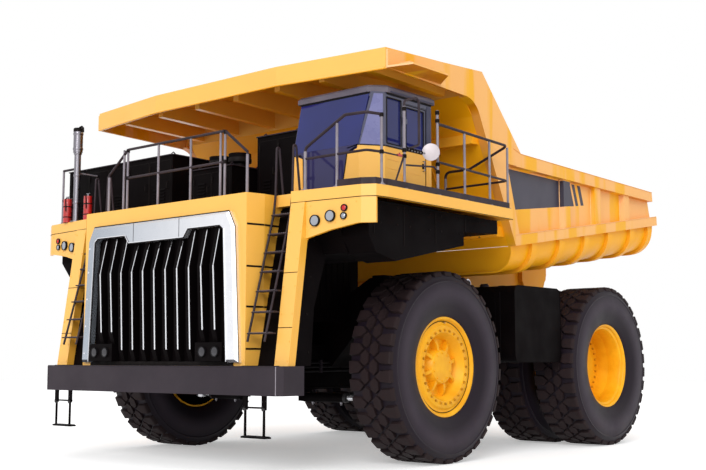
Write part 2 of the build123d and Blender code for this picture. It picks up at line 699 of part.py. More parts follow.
def save_canopy():
    """The canopy over the decks: top plate, front lip and ribs underneath."""
    inner = bed_half_w - 40 - seat_gap
    nose = [(-inner, canopy_lip_aft), (-canopy_nose_half, canopy_nose_aft),
            (canopy_nose_half, canopy_nose_aft), (inner, canopy_lip_aft)]
    lip_back = [(x, a + 60) for x, a in reversed(nose)]
    lip = slab_z(nose + lip_back, canopy_lip_low_z, canopy_lip_low_z + canopy_lip_h)
    plan = slab_z(nose + [(inner, canopy_rear_aft), (-inner, canopy_rear_aft)], 5500, 6600)
    top = slab_x([(canopy_nose_aft, canopy_lip_low_z + canopy_lip_h - 20),
                  (canopy_nose_aft, canopy_lip_low_z + canopy_lip_h),
                  (canopy_rear_aft, canopy_rear_z), (canopy_rear_aft, canopy_rear_z - 30)],
                 -inner, inner)
    ribs = [slab_x([(canopy_lip_aft + 250, 6100), (canopy_lip_aft + 250, 6330),
                    (380, 6440), (380, 6060)], x - 60, x + 60)
            for x in (-3000, -2000, -1000, 0, 1000, 2000, 3000)]
    rear = slab_x([(380, 6020 + seat_gap), (380, 6440), (440, 6440), (500, 6020 + seat_gap)],
                  -inner, inner)
    flap = slab_z([(bed_half_w - 5, canopy_lip_aft), (deck_half_w, -1700), (deck_half_w, -800),
                   (bed_half_w - 5, -430)], 6020, 6050)
    flap_arm = block(bed_half_w - 5, bed_half_w + 200, aft(-1500), aft(-1440), 6040, 6150)
    save("bed_canopy", joined([lip] + [s & plan for s in [top, rear] + ribs]))
    return joined([flap, flap_arm])


# Hoist cylinders

def save_hoists():
    """Barrel, middle stage and rod of each hoist, the eye beside its bed bracket."""
    base = (hoist_base_aft, hoist_base_z)
    eye = (hoist_eye_aft, hoist_eye_z)
    run = hypot(eye[0] - base[0], eye[1] - base[1])
    unit = ((eye[0] - base[0]) / run, (eye[1] - base[1]) / run)

    def along(s):
        return (hoist_x, aft(base[0] + unit[0] * s), base[1] + unit[1] * s)

    barrel = joined([rod(along(0), along(run - 230), hoist_barrel_r),
                     cross_pin(hoist_x - 90, hoist_x + 90, *base, 130)])
    barrel = barrel - rod(along(150), along(run), hoist_stage_r + 1)
    barrel = barrel - cross_pin(0, 2000, *base, 61)
    stage = rod(along(170), along(run - 190), hoist_stage_r)
    stage = stage - rod(along(190), along(run), hoist_rod_r + 1)
    shaft = joined([rod(along(200), along(run), hoist_rod_r),
                    cross_pin(hoist_x - 60, hoist_x + 60, *eye, 105)])
    for name, shape in (("barrel", barrel), ("stage", stage), ("rod", shaft)):
        save(f"hoist_{name}_left", shape)
        save(f"hoist_{name}_right", mirror(shape, about=Plane.YZ))


# Cab

door_aft0 = -1080
door_aft1 = -480
door_gap = 6
hinge_x = cab_left_x + 24
hinge_aft = door_aft0 + 3
hinge_heights = (4450, 5350)
window_low_z = cab_belt_z + 40
window_top_z = cab_roof_z - 70
door_top_z = cab_roof_z - 90
windscreen_outline = [
    # x, z: one pane, narrower between the two corner panels under the belt
    (cab_right_x + 100, cab_belt_z - 60), (cab_right_x + 100, window_top_z),
    (cab_left_x - 155, window_top_z), (cab_left_x - cab_corner_x - 35, cab_belt_z - 60),
    (cab_left_x - 485, cab_belt_z - 130), (cab_left_x - 595, deck_top_z + 90),
    (cab_right_x + 245, deck_top_z + 90), (cab_right_x + 230, cab_belt_z - 110)]


def cab_body(inset, low, high):
    """The cab's solid form, drawn in by inset on every wall."""
    solid = slab_x([(cab_front_aft + inset, low), (cab_front_aft + inset, cab_belt_z),
                    (cab_brow_aft + inset, high), (cab_rear_aft - inset, high),
                    (cab_rear_aft - inset, low)], cab_right_x + inset, cab_left_x - inset)
    slant = hypot(cab_corner_x, cab_corner_y)
    in_x = inset * (slant - cab_corner_x) / cab_corner_y
    in_y = inset * (slant - cab_corner_y) / cab_corner_x
    corner = slab_z([(cab_left_x + 200, cab_front_aft - 200),
                     (cab_left_x - cab_corner_x - in_x, cab_front_aft - 200),
                     (cab_left_x - cab_corner_x - in_x, cab_front_aft + inset),
                     (cab_left_x - inset, cab_front_aft + cab_corner_y + in_y),
                     (cab_left_x + 200, cab_front_aft + cab_corner_y + in_y)],
                    low - 10, high + 10)
    return solid - corner


def save_cab():
    """Shell with its windows cut, roof, glass, door and what shows inside."""
    floor_z = deck_top_z + seat_gap
    shell = cab_body(0, floor_z, cab_roof_z) - cab_body(cab_wall_t, floor_z + 60,
                                                        cab_roof_z + 40)
    windscreen = slab_y(windscreen_outline, cab_front_aft - 200, cab_front_aft + 400)
    side_aft = cab_front_aft + cab_corner_y + 50
    side = block(cab_left_x - 100, cab_left_x + 100, aft(side_aft), aft(door_aft0 - 60),
                 window_low_z, window_top_z)
    rear_side = block(cab_right_x - 100, cab_right_x + 200, aft(side_aft),
                      aft(cab_rear_aft - 120), window_low_z, window_top_z)
    rear = block(cab_right_x + 200, cab_left_x - 200, aft(cab_rear_aft - 200),
                 aft(cab_rear_aft + 100), window_low_z, window_top_z)
    doorway = block(cab_left_x - 200, cab_left_x + 100, aft(door_aft0), aft(door_aft1),
                    deck_top_z + 90, door_top_z)
    corner = Pos(cab_left_x - cab_corner_x / 2, aft(cab_front_aft + cab_corner_y / 2),
                 (window_low_z + window_top_z) / 2) * Rot(
        Z=degrees(atan2(cab_corner_y, cab_corner_x))) * Box(
        hypot(cab_corner_x, cab_corner_y) - 70, 300, window_top_z - window_low_z)
    corner = corner & slab_x([(cab_front_aft + 95, window_low_z), (cab_brow_aft + 95, window_top_z),
                              (cab_rear_aft, window_top_z), (cab_rear_aft, window_low_z)],
                             cab_right_x, cab_left_x + 100)
    shell = shell - windscreen - side - rear_side - rear - doorway - corner
    pins = []
    eyes = []
    for hinge_z in hinge_heights:
        pins.append(upright(hinge_x, hinge_aft, hinge_z - 60, hinge_z + 60, 8))
        for lug_z in (hinge_z - 60, hinge_z + 44):
            pins.append(block(cab_left_x - 1, hinge_x + 15, aft(hinge_aft - 28),
                              aft(hinge_aft + 14), lug_z, lug_z + 16))
        eye = joined([upright(hinge_x, hinge_aft, hinge_z - 38, hinge_z + 38, 18),
                      block(cab_left_x - 10, hinge_x - 2, aft(hinge_aft + 10),
                            aft(hinge_aft + 70), hinge_z - 38, hinge_z + 38)])
        eyes.append(eye - upright(hinge_x, hinge_aft, hinge_z - 50, hinge_z + 50, 9))
    save("cab_shell", joined([shell] + pins))
    roof = slab_z([(cab_right_x - 40, cab_rear_aft + 40), (cab_right_x - 40, cab_brow_aft - 40),
                   (cab_left_x - 190, cab_brow_aft - 40), (cab_left_x + 40, cab_brow_aft + 190),
                   (cab_left_x + 40, cab_rear_aft + 40)], cab_roof_z + seat_gap, cab_top_z)
    save("cab_roof", chamfer(roof.edges().group_by(Axis.Z)[-1], 40))
    skin = cab_body(20, floor_z + 30, cab_roof_z - 5) - cab_body(20 + glass_t, floor_z,
                                                                cab_roof_z + 30)
    panes = []
    for hole in (windscreen, side, rear_side, rear, corner):
        panes.extend((skin & hole).solids())
    save("cab_glass", *[p for p in panes if p.volume > 1e5])
    leaf = block(cab_left_x - 45, cab_left_x - 5, aft(door_aft0) + door_gap,
                 aft(door_aft1) - door_gap, deck_top_z + 90 + door_gap, door_top_z - door_gap)
    window = block(cab_left_x - 100, cab_left_x + 100, aft(door_aft0) + 70,
                   aft(door_aft1) - 70, cab_belt_z + 20, door_top_z - 60)
    save("cab_door", joined([leaf - window] + eyes))
    save("door_glass", block(cab_left_x - 30, cab_left_x - 20, aft(door_aft0) + 70.3,
                             aft(door_aft1) - 70.3, cab_belt_z + 20.3, door_top_z - 60.3))
    seat = joined([block(2250, 2750, aft(-1150), aft(-650), 4450, 4600),
                   block(2250, 2750, aft(-780), aft(-650), 4590, 5250),
                   block(2350, 2650, aft(-1050), aft(-750), floor_z + 60, 4460)])
    dash = block(1900, 2800, aft(cab_front_aft) + 80, aft(cab_front_aft) + 280,
                 floor_z + 60 + seat_gap, 4800)
    wheel_hub = rod((2500, aft(cab_front_aft) + 270, 4760),
                    (2500, aft(cab_front_aft) + 430, 4900), 25)
    rim = Pos(2500, aft(cab_front_aft) + 430, 4900) * Rot(X=49) * (
        Cylinder(210, 30) - Cylinder(185, 40) + Box(390, 40, 26))
    save("cab_interior", seat, joined([dash, wheel_hub, rim]))


# Things on the decks

def lamp(back, front, radius):
    """A round lamp whose lens lies behind a rim."""
    lens = Vector(*front) + (Vector(*back) - Vector(*front)).normalized() * 9
    return rod(back, front, radius) - rod(tuple(lens), front, radius - 13, 0.5)


def save_deck_fittings():
    """Cabinets, caps, stack, bottles, lamps, mirrors and tanks."""
    z = deck_top_z + seat_gap
    cabinets = [
        # x0, x1, aft0, aft1, top
        (-3850, -870, -2200, -1000, 5170),
        (-420, 560, -2150, -1350, 4830),
        (700, 1640, -1700, -900, 5330)]
    boxes = [block(x0, x1, aft(a0), aft(a1), z, top) for x0, x1, a0, a1, top in cabinets]
    caps = [joined([upright(x, -1750, 4830 + seat_gap, 4960, 110),
                    upright(x, -1750, 4950, 5090, 190)]) for x in (-150, 330)]
    save("deck_cabinets", *boxes, *caps)
    stack = joined([upright(-3000, -2640, z, 5700, 60), upright(-3000, -2640, 5400, 5800, 85)])
    save("corner_stack", stack)
    save("extinguishers", *[upright(x, -2680, z, 4550, 75) for x in (-3210, -2600)])
    lamps = []
    (x0, a0), (x1, a1) = front_sweep[2:4]
    lean = (a1 - a0) / (x1 - x0)
    for side in (-1, 1):
        for x, lamp_z, lamp_r, deep in ((2950, 3650, 85, 40), (3220, 3700, 85, 40),
                                        (3460, 3800, 52, 30), (3450, 3685, 52, 30)):
            y = aft(a0 + (x - x0) * lean)
            back = (side * (x + lean * seat_gap), y - seat_gap, lamp_z)
            front = (side * (x + lean * deep), y - deep, lamp_z)
            lamps.append(lamp(back, front, lamp_r))
        for x in (1180, 1460):
            front = aft(hood_front_aft - 90) - seat_gap
            lamps.append(lamp((side * x, front, 1760), (side * x, front - 26, 1760), 80))
    save("lamps", *lamps)
    tank = block(1500, 3300, aft(2080), aft(3660), 1600, 2950)
    tank = fillet(tank.edges().filter_by(Axis.X), 120)
    bracket = block(rail_x1 + seat_gap, 1520, aft(3250), aft(3600), 2260, 2420)
    tank = joined([tank, bracket])
    save("fuel_tank", tank)
    save("hydraulic_tank", mirror(tank, about=Plane.YZ))
    mirror_y = aft(-1220)
    arm_x = deck_half_w - 60 + post_r + seat_gap + 12
    disc = rod((arm_x - 6, mirror_y, 4760), (arm_x + 20, mirror_y, 4760), 130)
    arm = rod((arm_x, mirror_y - 20, 4760), (arm_x, aft(-1000), 4760), 12)
    save("deck_mirror", joined([disc, arm]))


def save_rails_and_ladders():
    """Handrails round the decks and the ladders with their hanging steps."""
    z = deck_top_z + seat_gap
    top = 5190
    y = aft(-2900)
    centre = [bent_rail([(-1700, y, 4800), (-1200, y, top), (1200, y, top), (1700, y, 4800)]),
              rod((-1200, y, 4700), (1200, y, 4700), rail_tube_r)]
    for x in (-1700, -1300, -1200, -400, 400, 1100, 1200, 1700):
        centre.append(upright(x, -2900, z, 4800 if abs(x) > 1600 else top, post_r))
    side_x = deck_half_w - 60
    gate_aft = -2384
    hoop_aft = -1850
    mirror_post_aft = -1020
    rear_aft = deck_rear_aft - 50
    corner_y = aft(gate_aft)
    left = [bent_rail(run) for run in (
        # front rail with the post at its inner end
        [(2720, aft(-2705), z), (2720, aft(-2705), 4750), (3430, aft(-2632), 5165),
         (3790, aft(-2580), 5165), (side_x, corner_y, 5150)],
        # side and rear rail, which drops to a post at its inner end
        [(side_x, aft(mirror_post_aft), 5230), (side_x, aft(rear_aft), 5180),
         (3140, aft(rear_aft), 4870), (2650, aft(rear_aft), 4870), (2650, aft(rear_aft), z)])]
    left += [bent_rail(run, post_r) for run in (
        # the middle bars, a little thinner than the posts they run into
        [(2722, aft(-2705), 4590), (3790, aft(-2580), 4615), (side_x, corner_y, 4600)],
        [(side_x, aft(mirror_post_aft), 4640), (side_x, aft(rear_aft), 4590),
         (2652, aft(rear_aft), 4580)])]
    left.append(bent_rail([(side_x, aft(hoop_aft), z), (side_x, aft(hoop_aft), 5440),
                           (side_x, aft(hoop_aft + 360), 5560),
                           (side_x, aft(hoop_aft + 360), 4830),
                           (side_x, aft(hoop_aft), 4700)], post_r, 70))
    left.append(bent_rail([(side_x, aft(hoop_aft), 4480),
                           (side_x, aft(mirror_post_aft - 100), 4550),
                           (side_x, aft(mirror_post_aft), 4490)], 14, 50))
    left.append(rod((side_x, corner_y, 4600), (side_x, aft(hoop_aft), 4600), 12))
    left.append(rod((side_x, aft(hoop_aft - 250), z + 10), (side_x, aft(hoop_aft), 4640), 14))
    for x, a, post_top in ((3285, -2640, 5080), (side_x, gate_aft, 5165),
                           (side_x, mirror_post_aft, 5440), (side_x, -300, 5212),
                           (side_x, 412, 5194), (side_x, rear_aft, 5150),
                           (3560, rear_aft, 5039)):
        left.append(upright(x, a, z, post_top, post_r))
    right = [upright(x, -2580, z, 5120, post_r) for x in (-3500, -3120)]
    for rail_z in (4560, 5120):
        right.append(rod((-3500, aft(-2580), rail_z), (-3120, aft(-2580), rail_z), rail_tube_r))
    board = [(3320, -2675), (3725, -2625), (3905, -2515), (side_x + 28, -2290)]
    toe = [slab_z(board + [(x - 8, a + 10) for x, a in reversed(board)], z, z + 100),
           block(side_x + 24, side_x + 32, aft(-2295), aft(rear_aft), z, z + 100)]
    save("handrails", joined(centre), joined(left + toe), joined(right))
    ladders = []
    for s in (-1, 1):
        for x in (2075, 2425):
            ladders.append(bent_rail([(s * x, aft(-3225), 1900), (s * x, aft(-2700), 3830),
                                      (s * x, aft(-2665), 4100), (s * x, aft(-2645), 4850),
                                      (s * x, aft(-2590), 4850), (s * x, aft(-2500), z + 16)],
                                     18, [300, 300, 25, 25]))
        for step_z in (3800, 3500, 3220, 2930, 2640, 2330, 2020):
            y = aft(-3200 + (step_z - 2000) * 500 / 1830)
            x0, x1 = sorted((s * 2050, s * (column_x0 - seat_gap)))
            ladders.append(block(x0, x1, y - 20, y + 130, step_z - 10, step_z + 10))
    save("ladders", joined(ladders))
    steps = []
    for s in (-1, 1):
        x0, x1 = sorted((s * 2110, s * 2490))
        for x in (x0, x1):
            steps.append(block(x - 40, x + 40, aft(-3300), aft(-3270), 930,
                               bumper_low_z - seat_gap))
            steps.append(block(x - 14, x + 14, aft(-3300), aft(-3272), 530, 940))
        steps.append(block(x0 - 60, x1 + 60, aft(-3318), aft(-3200), 530, 555))
        steps.append(block(x0 - 20, x1 + 20, aft(-3318), aft(-3250), 950, 972))
    half = len(steps) // 2
    save("bumper_steps", joined(steps[:half]), joined(steps[half:]))


save_wheels()
save_steering()
save_chassis()
save_bumper()
save_power_and_axle()
save_hood()
save_grille()
save_decks()
save_fenders()
save_bed()
save_hoists()
save_cab()
save_deck_fittings()
save_rails_and_ladders()
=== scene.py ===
# %% [markdown]
# # A rigid mining dump truck, dressed for the camera
# The CAD model already has every wheel, hinge and plate in its place.
# This lesson gives each of them the finish of the real thing, and adds what is too fine for CAD:
# tread blocks, bolts, bright strips, gaskets, grip bars, weld beads and seams.
# Everything is in metres: +X is the truck's own left, its front looks along -Y, the ground is Z = 0.

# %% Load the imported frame
import json
import math

import bmesh
import bpy
from mathutils import Matrix, Vector


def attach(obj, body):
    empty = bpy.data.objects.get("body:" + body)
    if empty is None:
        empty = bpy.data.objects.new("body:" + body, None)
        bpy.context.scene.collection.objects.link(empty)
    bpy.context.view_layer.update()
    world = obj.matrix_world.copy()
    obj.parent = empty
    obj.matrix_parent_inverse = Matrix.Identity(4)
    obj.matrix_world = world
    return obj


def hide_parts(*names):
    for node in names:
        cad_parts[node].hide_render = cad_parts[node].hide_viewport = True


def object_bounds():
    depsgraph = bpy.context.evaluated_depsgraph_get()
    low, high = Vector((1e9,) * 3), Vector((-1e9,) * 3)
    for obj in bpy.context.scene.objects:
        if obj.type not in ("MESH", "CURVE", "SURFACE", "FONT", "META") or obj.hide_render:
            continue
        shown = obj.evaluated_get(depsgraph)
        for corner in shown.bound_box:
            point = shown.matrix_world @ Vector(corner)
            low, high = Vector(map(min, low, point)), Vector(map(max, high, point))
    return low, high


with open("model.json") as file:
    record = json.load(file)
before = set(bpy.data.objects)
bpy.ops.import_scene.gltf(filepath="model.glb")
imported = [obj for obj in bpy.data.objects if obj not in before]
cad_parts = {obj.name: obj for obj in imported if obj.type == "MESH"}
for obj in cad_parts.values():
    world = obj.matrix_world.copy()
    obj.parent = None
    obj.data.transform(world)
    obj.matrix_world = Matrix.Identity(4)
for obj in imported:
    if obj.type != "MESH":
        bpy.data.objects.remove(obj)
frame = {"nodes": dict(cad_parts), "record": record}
cad_box = [list(corner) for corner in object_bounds()]
nodes = frame["nodes"]
slot_of = {part["node"]: part["material_slot"] for part in frame["record"]["subparts"]}
print("nodes:", len(nodes), "box:", [[round(v, 3) for v in corner] for corner in cad_box])

# %% [markdown]
# ## Camera
# The photograph was taken from about eye height, off the front left corner and some 20 m from
# the truck's middle.
# A 56 mm lens and a look slightly upwards give the same lines, so nothing has to be shifted.

# %% Camera


def stand(name, data):
    """A new object in the scene."""
    thing = bpy.data.objects.new(name, data)
    bpy.context.scene.collection.objects.link(thing)
    return thing


camera_data = bpy.data.cameras.new("camera")
camera_data.lens = 56.0
camera_data.sensor_width = 36.0
camera = stand("camera", camera_data)
camera.location = (13.619, -16.467, 1.639)
camera.rotation_euler = (math.radians(96.489), 0.0, 0.7041)
bpy.context.scene.camera = camera
bpy.context.scene.view_settings.view_transform = "Standard"
print("camera at", tuple(round(v, 2) for v in camera.location))

# %% [markdown]
# ## Colours and nodes
# Paint charts give colours as sRGB hex, and Blender shades with linear values.
# One function does that change, another fills a node's inputs, a third adds any node with its
# settings, and a fourth starts a material with one shader, on coordinates that stay with the object.

# %% Helpers for materials


def linear(code):
    """An sRGB hex colour as the linear RGBA that Blender shades with."""
    values = [int(code[k:k + 2], 16) / 255 for k in (1, 3, 5)]
    return tuple(v / 12.92 if v <= 0.04045 else ((v + 0.055) / 1.055) ** 2.4 for v in values) + (1.0,)


def fill(tree, node, inputs):
    """Fills a node's inputs with values or with other nodes' outputs."""
    for key, value in inputs.items():
        if isinstance(value, bpy.types.NodeSocket):
            tree.links.new(value, node.inputs[key])
        else:
            node.inputs[key].default_value = value
    return node


def add(tree, kind, inputs=None, **settings):
    """Adds one node with its settings and links."""
    node = tree.nodes.new(kind)
    for name, value in settings.items():
        setattr(node, name, value)
    return fill(tree, node, inputs or {})


def start_material(name):
    """An empty material with a Principled shader and the object's own coordinates."""
    material = bpy.data.materials.new(name)
    material.use_nodes = True
    tree = material.node_tree
    tree.nodes.clear()
    shader = add(tree, "ShaderNodeBsdfPrincipled")
    add(tree, "ShaderNodeOutputMaterial", {"Surface": shader.outputs["BSDF"]})
    place = add(tree, "ShaderNodeTexCoord").outputs["Object"]
    return material, tree, shader, place


print("yellow as linear:", [round(v, 3) for v in linear("#F2A100")])

# %% [markdown]
# ## Sprayed enamel
# Most of a truck is welded plate under two-pack enamel. The paint pools and thins a little,
# and large plates are never quite flat, so reflections swim. Cloudy noise about a metre across
# tints it, a second one bends the light like a slightly wavy plate, a third changes the gloss
# in patches, and the finest is the orange peel of the spray.
# Faces that turn up and towards the sun get a paler colour painted on as a highlight, and
# undersides get a painted shade colour, so the tint also follows the way a face looks on the
# object: it could be painted by hand, but this holds for every plate.

# %% Enamel on plate


def facing(tree, direction, low, high):
    """From 0 to 1, how much a face looks along a direction of the object."""
    normal = add(tree, "ShaderNodeTexCoord").outputs["Normal"]
    dot = add(tree, "ShaderNodeVectorMath", {0: normal, 1: direction}, operation="DOT_PRODUCT")
    return add(tree, "ShaderNodeMapRange", {"Value": dot.outputs["Value"], "From Min": low,
                                            "From Max": high}).outputs["Result"]


def enamel(name, light, deep, roughness, cloud_m=1.1, wave_m=0.9, wave_mm=2.0, grain_m=0.035,
           specular=0.5, coat=0.0, painted_highlight="", highlight_amount=0.0, painted_under_shade=""):
    """Paint with cloudy colour, patchy gloss, wavy plate and orange peel, each with its real size, and where
    asked a painted highlight on sunward faces and a painted shade colour below.
    """
    material, tree, shader, place = start_material(name)
    cloud = add(tree, "ShaderNodeTexNoise", {"Vector": place, "Scale": 1 / cloud_m, "Detail": 5.0,
                                             "Roughness": 0.6})
    tint = add(tree, "ShaderNodeValToRGB", {"Fac": cloud.outputs["Fac"]})
    tint.color_ramp.elements[0].position = 0.35
    tint.color_ramp.elements[0].color = linear(deep)
    tint.color_ramp.elements[1].position = 0.65
    tint.color_ramp.elements[1].color = linear(light)
    colour = tint.outputs["Color"]
    # a paler colour painted on faces turned towards the sun, as a highlight
    if painted_highlight:
        sunward_highlight = add(tree, "ShaderNodeMath", {0: facing(tree, (0.45, -0.7, 0.55), 0.15, 0.75),
                                           1: highlight_amount}, operation="MULTIPLY")
        colour = add(tree, "ShaderNodeMix", {"Factor": sunward_highlight.outputs[0], "A": colour,
                                             "B": linear(painted_highlight)}, data_type="RGBA").outputs["Result"]
    # a shade colour painted on faces that look down
    if painted_under_shade:
        low = facing(tree, (0.0, 0.0, -1.0), 0.1, 0.8)
        colour = add(tree, "ShaderNodeMix", {"Factor": low, "A": colour,
                                             "B": linear(painted_under_shade)}, data_type="RGBA").outputs["Result"]
    patch = add(tree, "ShaderNodeTexNoise", {"Vector": place, "Scale": 2.3 / cloud_m, "Detail": 4.0})
    gloss = add(tree, "ShaderNodeMapRange", {"Value": patch.outputs["Fac"], "From Min": 0.3,
                                             "From Max": 0.7, "To Min": roughness * 0.82,
                                             "To Max": roughness * 1.2})
    wave = add(tree, "ShaderNodeTexNoise", {"Vector": place, "Scale": 1 / wave_m, "Detail": 1.0})
    grain = add(tree, "ShaderNodeTexNoise", {"Vector": place, "Scale": 1 / grain_m, "Detail": 2.0})
    plate = add(tree, "ShaderNodeBump", {"Height": wave.outputs["Fac"], "Strength": 1.0,
                                         "Distance": wave_mm / 1000})
    peel = add(tree, "ShaderNodeBump", {"Height": grain.outputs["Fac"], "Strength": 0.12,
                                        "Distance": 0.002, "Normal": plate.outputs["Normal"]})
    fill(tree, shader, {"Base Color": colour, "Roughness": gloss.outputs["Result"],
                        "Normal": peel.outputs["Normal"], "Specular IOR Level": specular,
                        "Coat Weight": coat, "Coat Roughness": 0.15})
    return material


finishes = {
    # gloss with a painted pale highlight on faces turned to the sun and a painted shade colour below
    "yellow": enamel("yellow_gloss_enamel", "#F8B210", "#F0A806", 0.36, wave_mm=5.0, coat=0.2,
                     painted_highlight="#F1BE6A", highlight_amount=0.65, painted_under_shade="#FFAE10"),
    # satin, in smaller clouds, as a rim is sprayed in one turn
    "rim": enamel("yellow_rim_enamel", "#F6B41C", "#E8A00C", 0.42, cloud_m=0.4, wave_m=0.3, specular=0.25),
    # dull black with next to no highlight, then charcoal and rail paint with a weak sheen
    "black": enamel("black_chassis_enamel", "#0B0708", "#060304", 0.6, specular=0.04),
    "dark": enamel("charcoal_bumper_enamel", "#332B32", "#292229", 0.5, specular=0.2),
    "rail": enamel("dark_rail_enamel", "#352A30", "#261C22", 0.45, cloud_m=0.3, specular=0.2),
    # red under a clear coat, and plastic with a moulded grain
    "red": enamel("red_bottle_enamel", "#C3201C", "#A31512", 0.3, cloud_m=0.2, coat=0.5),
    "trim": enamel("moulded_cab_trim", "#2A2A2E", "#222226", 0.6, cloud_m=0.3, grain_m=0.01,
                   specular=0.25),
}
# the bed's own coat gets less painted highlight, because the canopy keeps the sun off it, and a painted
# shade colour below
bed_yellow = enamel("yellow_bed_enamel", "#FBB20A", "#F5A804", 0.42, wave_mm=7.0, specular=0.2,
                    painted_highlight="#F1B566", highlight_amount=0.2, painted_under_shade="#FFB00C")
# zinc-grey posts, a dull roof, slate pillars, a shiny tinted film and near-black edge lines
post_grey = enamel("galvanised_post_enamel", "#8C858D", "#756E77", 0.4, cloud_m=0.3, specular=0.4)
roof_grey = enamel("purple_grey_roof_enamel", "#6E6872", "#5B5560", 0.5, cloud_m=0.5, specular=0.2)
slate = enamel("slate_pillar_enamel", "#4A4C62", "#3C3D54", 0.45, cloud_m=0.5, specular=0.25)
lavender = enamel("lavender_corner_film", "#7C7DA8", "#6C6E9C", 0.3, cloud_m=0.6, specular=0.4)
line_black = enamel("black_edge_line", "#16100F", "#0F0B0B", 0.6, cloud_m=0.2, specular=0.1)
print("enamels:", sorted(finishes))

# %% [markdown]
# ## Bare and plated metal
# Cast iron keeps the grain of its sand mould, turned steel is finely grained, and chrome that has
# seen weather is bright but a little soft, with broad ripples. The mirror's back is a pale shell
# that was polished once, so it is nearly a paint.

# %% Metals


def metal(name, light, deep, roughness, grain_m, grain_mm, metallic=1.0, spread=0.25):
    """Metal with a grain that shows in its colour, gloss and bump."""
    material, tree, shader, place = start_material(name)
    grain = add(tree, "ShaderNodeTexNoise", {"Vector": place, "Scale": 1 / grain_m, "Detail": 4.0,
                                             "Roughness": 0.65})
    tint = add(tree, "ShaderNodeMix", {"Factor": grain.outputs["Fac"], "A": linear(deep),
                                       "B": linear(light)}, data_type="RGBA")
    broad = add(tree, "ShaderNodeTexNoise", {"Vector": place, "Scale": 0.15 / grain_m, "Detail": 3.0})
    gloss = add(tree, "ShaderNodeMapRange", {"Value": broad.outputs["Fac"], "From Min": 0.3,
                                             "From Max": 0.7, "To Min": roughness * (1 - spread),
                                             "To Max": roughness * (1 + spread)})
    bump = add(tree, "ShaderNodeBump", {"Height": grain.outputs["Fac"], "Strength": 0.5,
                                        "Distance": grain_mm / 1000})
    fill(tree, shader, {"Base Color": tint.outputs["Result"], "Roughness": gloss.outputs["Result"],
                        "Normal": bump.outputs["Normal"], "Metallic": metallic})
    return material


finishes["iron"] = metal("painted_cast_iron", "#1E1A1D", "#141113", 0.6, 0.03, 1.5, metallic=0.0)
finishes["steel"] = metal("turned_steel", "#8F8C92", "#7A777E", 0.35, 0.012, 0.2)
finishes["chrome"] = metal("bright_chrome", "#F4F4F8", "#E2E3E9", 0.24, 0.2, 0.3, metallic=0.75)
finishes["mirror"] = metal("mirror_back_shell", "#C9BFC2", "#BAB0B4", 0.35, 0.05, 0.1, metallic=0.1)
print("metals done")

# %% [markdown]
# ## Glass and lamps
# Cab glass on such machines is tinted against glare. From outside it is dark and blue and
# shows the sky, so a dark coat with sharp gloss does it, and a little light still goes through.
# A clear lens is glass over a bright bowl, so it is part metal, and the low pane is the duskiest.

# %% Glass and lamp lenses


def glass(name, tint, clear, roughness=0.04, inputs=None):
    """Tinted glass with faint ripples, as float glass has, and more inputs where a lens needs them."""
    material, tree, shader, place = start_material(name)
    ripple = add(tree, "ShaderNodeTexNoise", {"Vector": place, "Scale": 1.4, "Detail": 2.0})
    shade = add(tree, "ShaderNodeMix", {"Factor": ripple.outputs["Fac"], "A": linear(tint),
                                        "B": linear(clear)}, data_type="RGBA")
    bump = add(tree, "ShaderNodeBump", {"Height": ripple.outputs["Fac"], "Strength": 0.3,
                                        "Distance": 0.004})
    fill(tree, shader, {"Base Color": shade.outputs["Result"], "Normal": bump.outputs["Normal"],
                        "Roughness": roughness, "IOR": 1.52} | (inputs or {}))
    return material


finishes["glass"] = glass("blue_tinted_cab_glass", "#1B2158", "#232C78",
                          inputs={"Transmission Weight": 0.15, "Specular IOR Level": 0.35})
finishes["lamp"] = glass("clear_lamp_lens", "#8E939C", "#B9BDC6", 0.08, {"Metallic": 0.6})
finishes["red_lens"] = glass("red_signal_lens", "#B31215", "#D01F1C", 0.1)
smoked_lens = glass("smoked_pod_lens", "#1B191D", "#3A383F", 0.08)
dusk_glass = glass("dusky_low_glass", "#2A2850", "#35335C", inputs={"Specular IOR Level": 0.3})
print("glass done")

# %% [markdown]
# ## Rubber
# Tyre rubber is dark with a dusty bloom. The tread is scuffed and brownish, the sidewall is
# smooth and a little violet in this light.

# %% Rubber


def rubber(name, light, deep, roughness, cloud_m, grain_m, grain_mm, specular):
    """Rubber with bloom in patches and a pebbled skin."""
    material, tree, shader, place = start_material(name)
    cloud = add(tree, "ShaderNodeTexNoise", {"Vector": place, "Scale": 1 / cloud_m, "Detail": 6.0,
                                             "Roughness": 0.62})
    tint = add(tree, "ShaderNodeMix", {"Factor": cloud.outputs["Fac"], "A": linear(deep),
                                       "B": linear(light)}, data_type="RGBA")
    gloss = add(tree, "ShaderNodeMapRange", {"Value": cloud.outputs["Fac"], "From Min": 0.3,
                                             "From Max": 0.7, "To Min": roughness * 0.85,
                                             "To Max": roughness * 1.12})
    grain = add(tree, "ShaderNodeTexNoise", {"Vector": place, "Scale": 1 / grain_m, "Detail": 3.0})
    bump = add(tree, "ShaderNodeBump", {"Height": grain.outputs["Fac"], "Strength": 0.4,
                                        "Distance": grain_mm / 1000})
    fill(tree, shader, {"Base Color": tint.outputs["Result"], "Roughness": gloss.outputs["Result"],
                        "Normal": bump.outputs["Normal"], "Specular IOR Level": specular})
    return material


sidewall_rubber = rubber("smooth_sidewall_rubber", "#211822", "#161017", 0.5, 0.5, 0.02, 1.0, 0.16)
tread_rubber = rubber("scuffed_tread_rubber", "#2A1C1E", "#170F10", 0.75, 0.25, 0.015, 2.0, 0.2)
gasket_rubber = rubber("black_gasket_rubber", "#131013", "#0C0A0C", 0.6, 0.2, 0.01, 0.5, 0.15)
finishes["tyre"] = sidewall_rubber
print("rubber done")

# %% [markdown]
# ## Every CAD node gets its finish
# A CAD node keeps its mesh. Only its material slot changes.

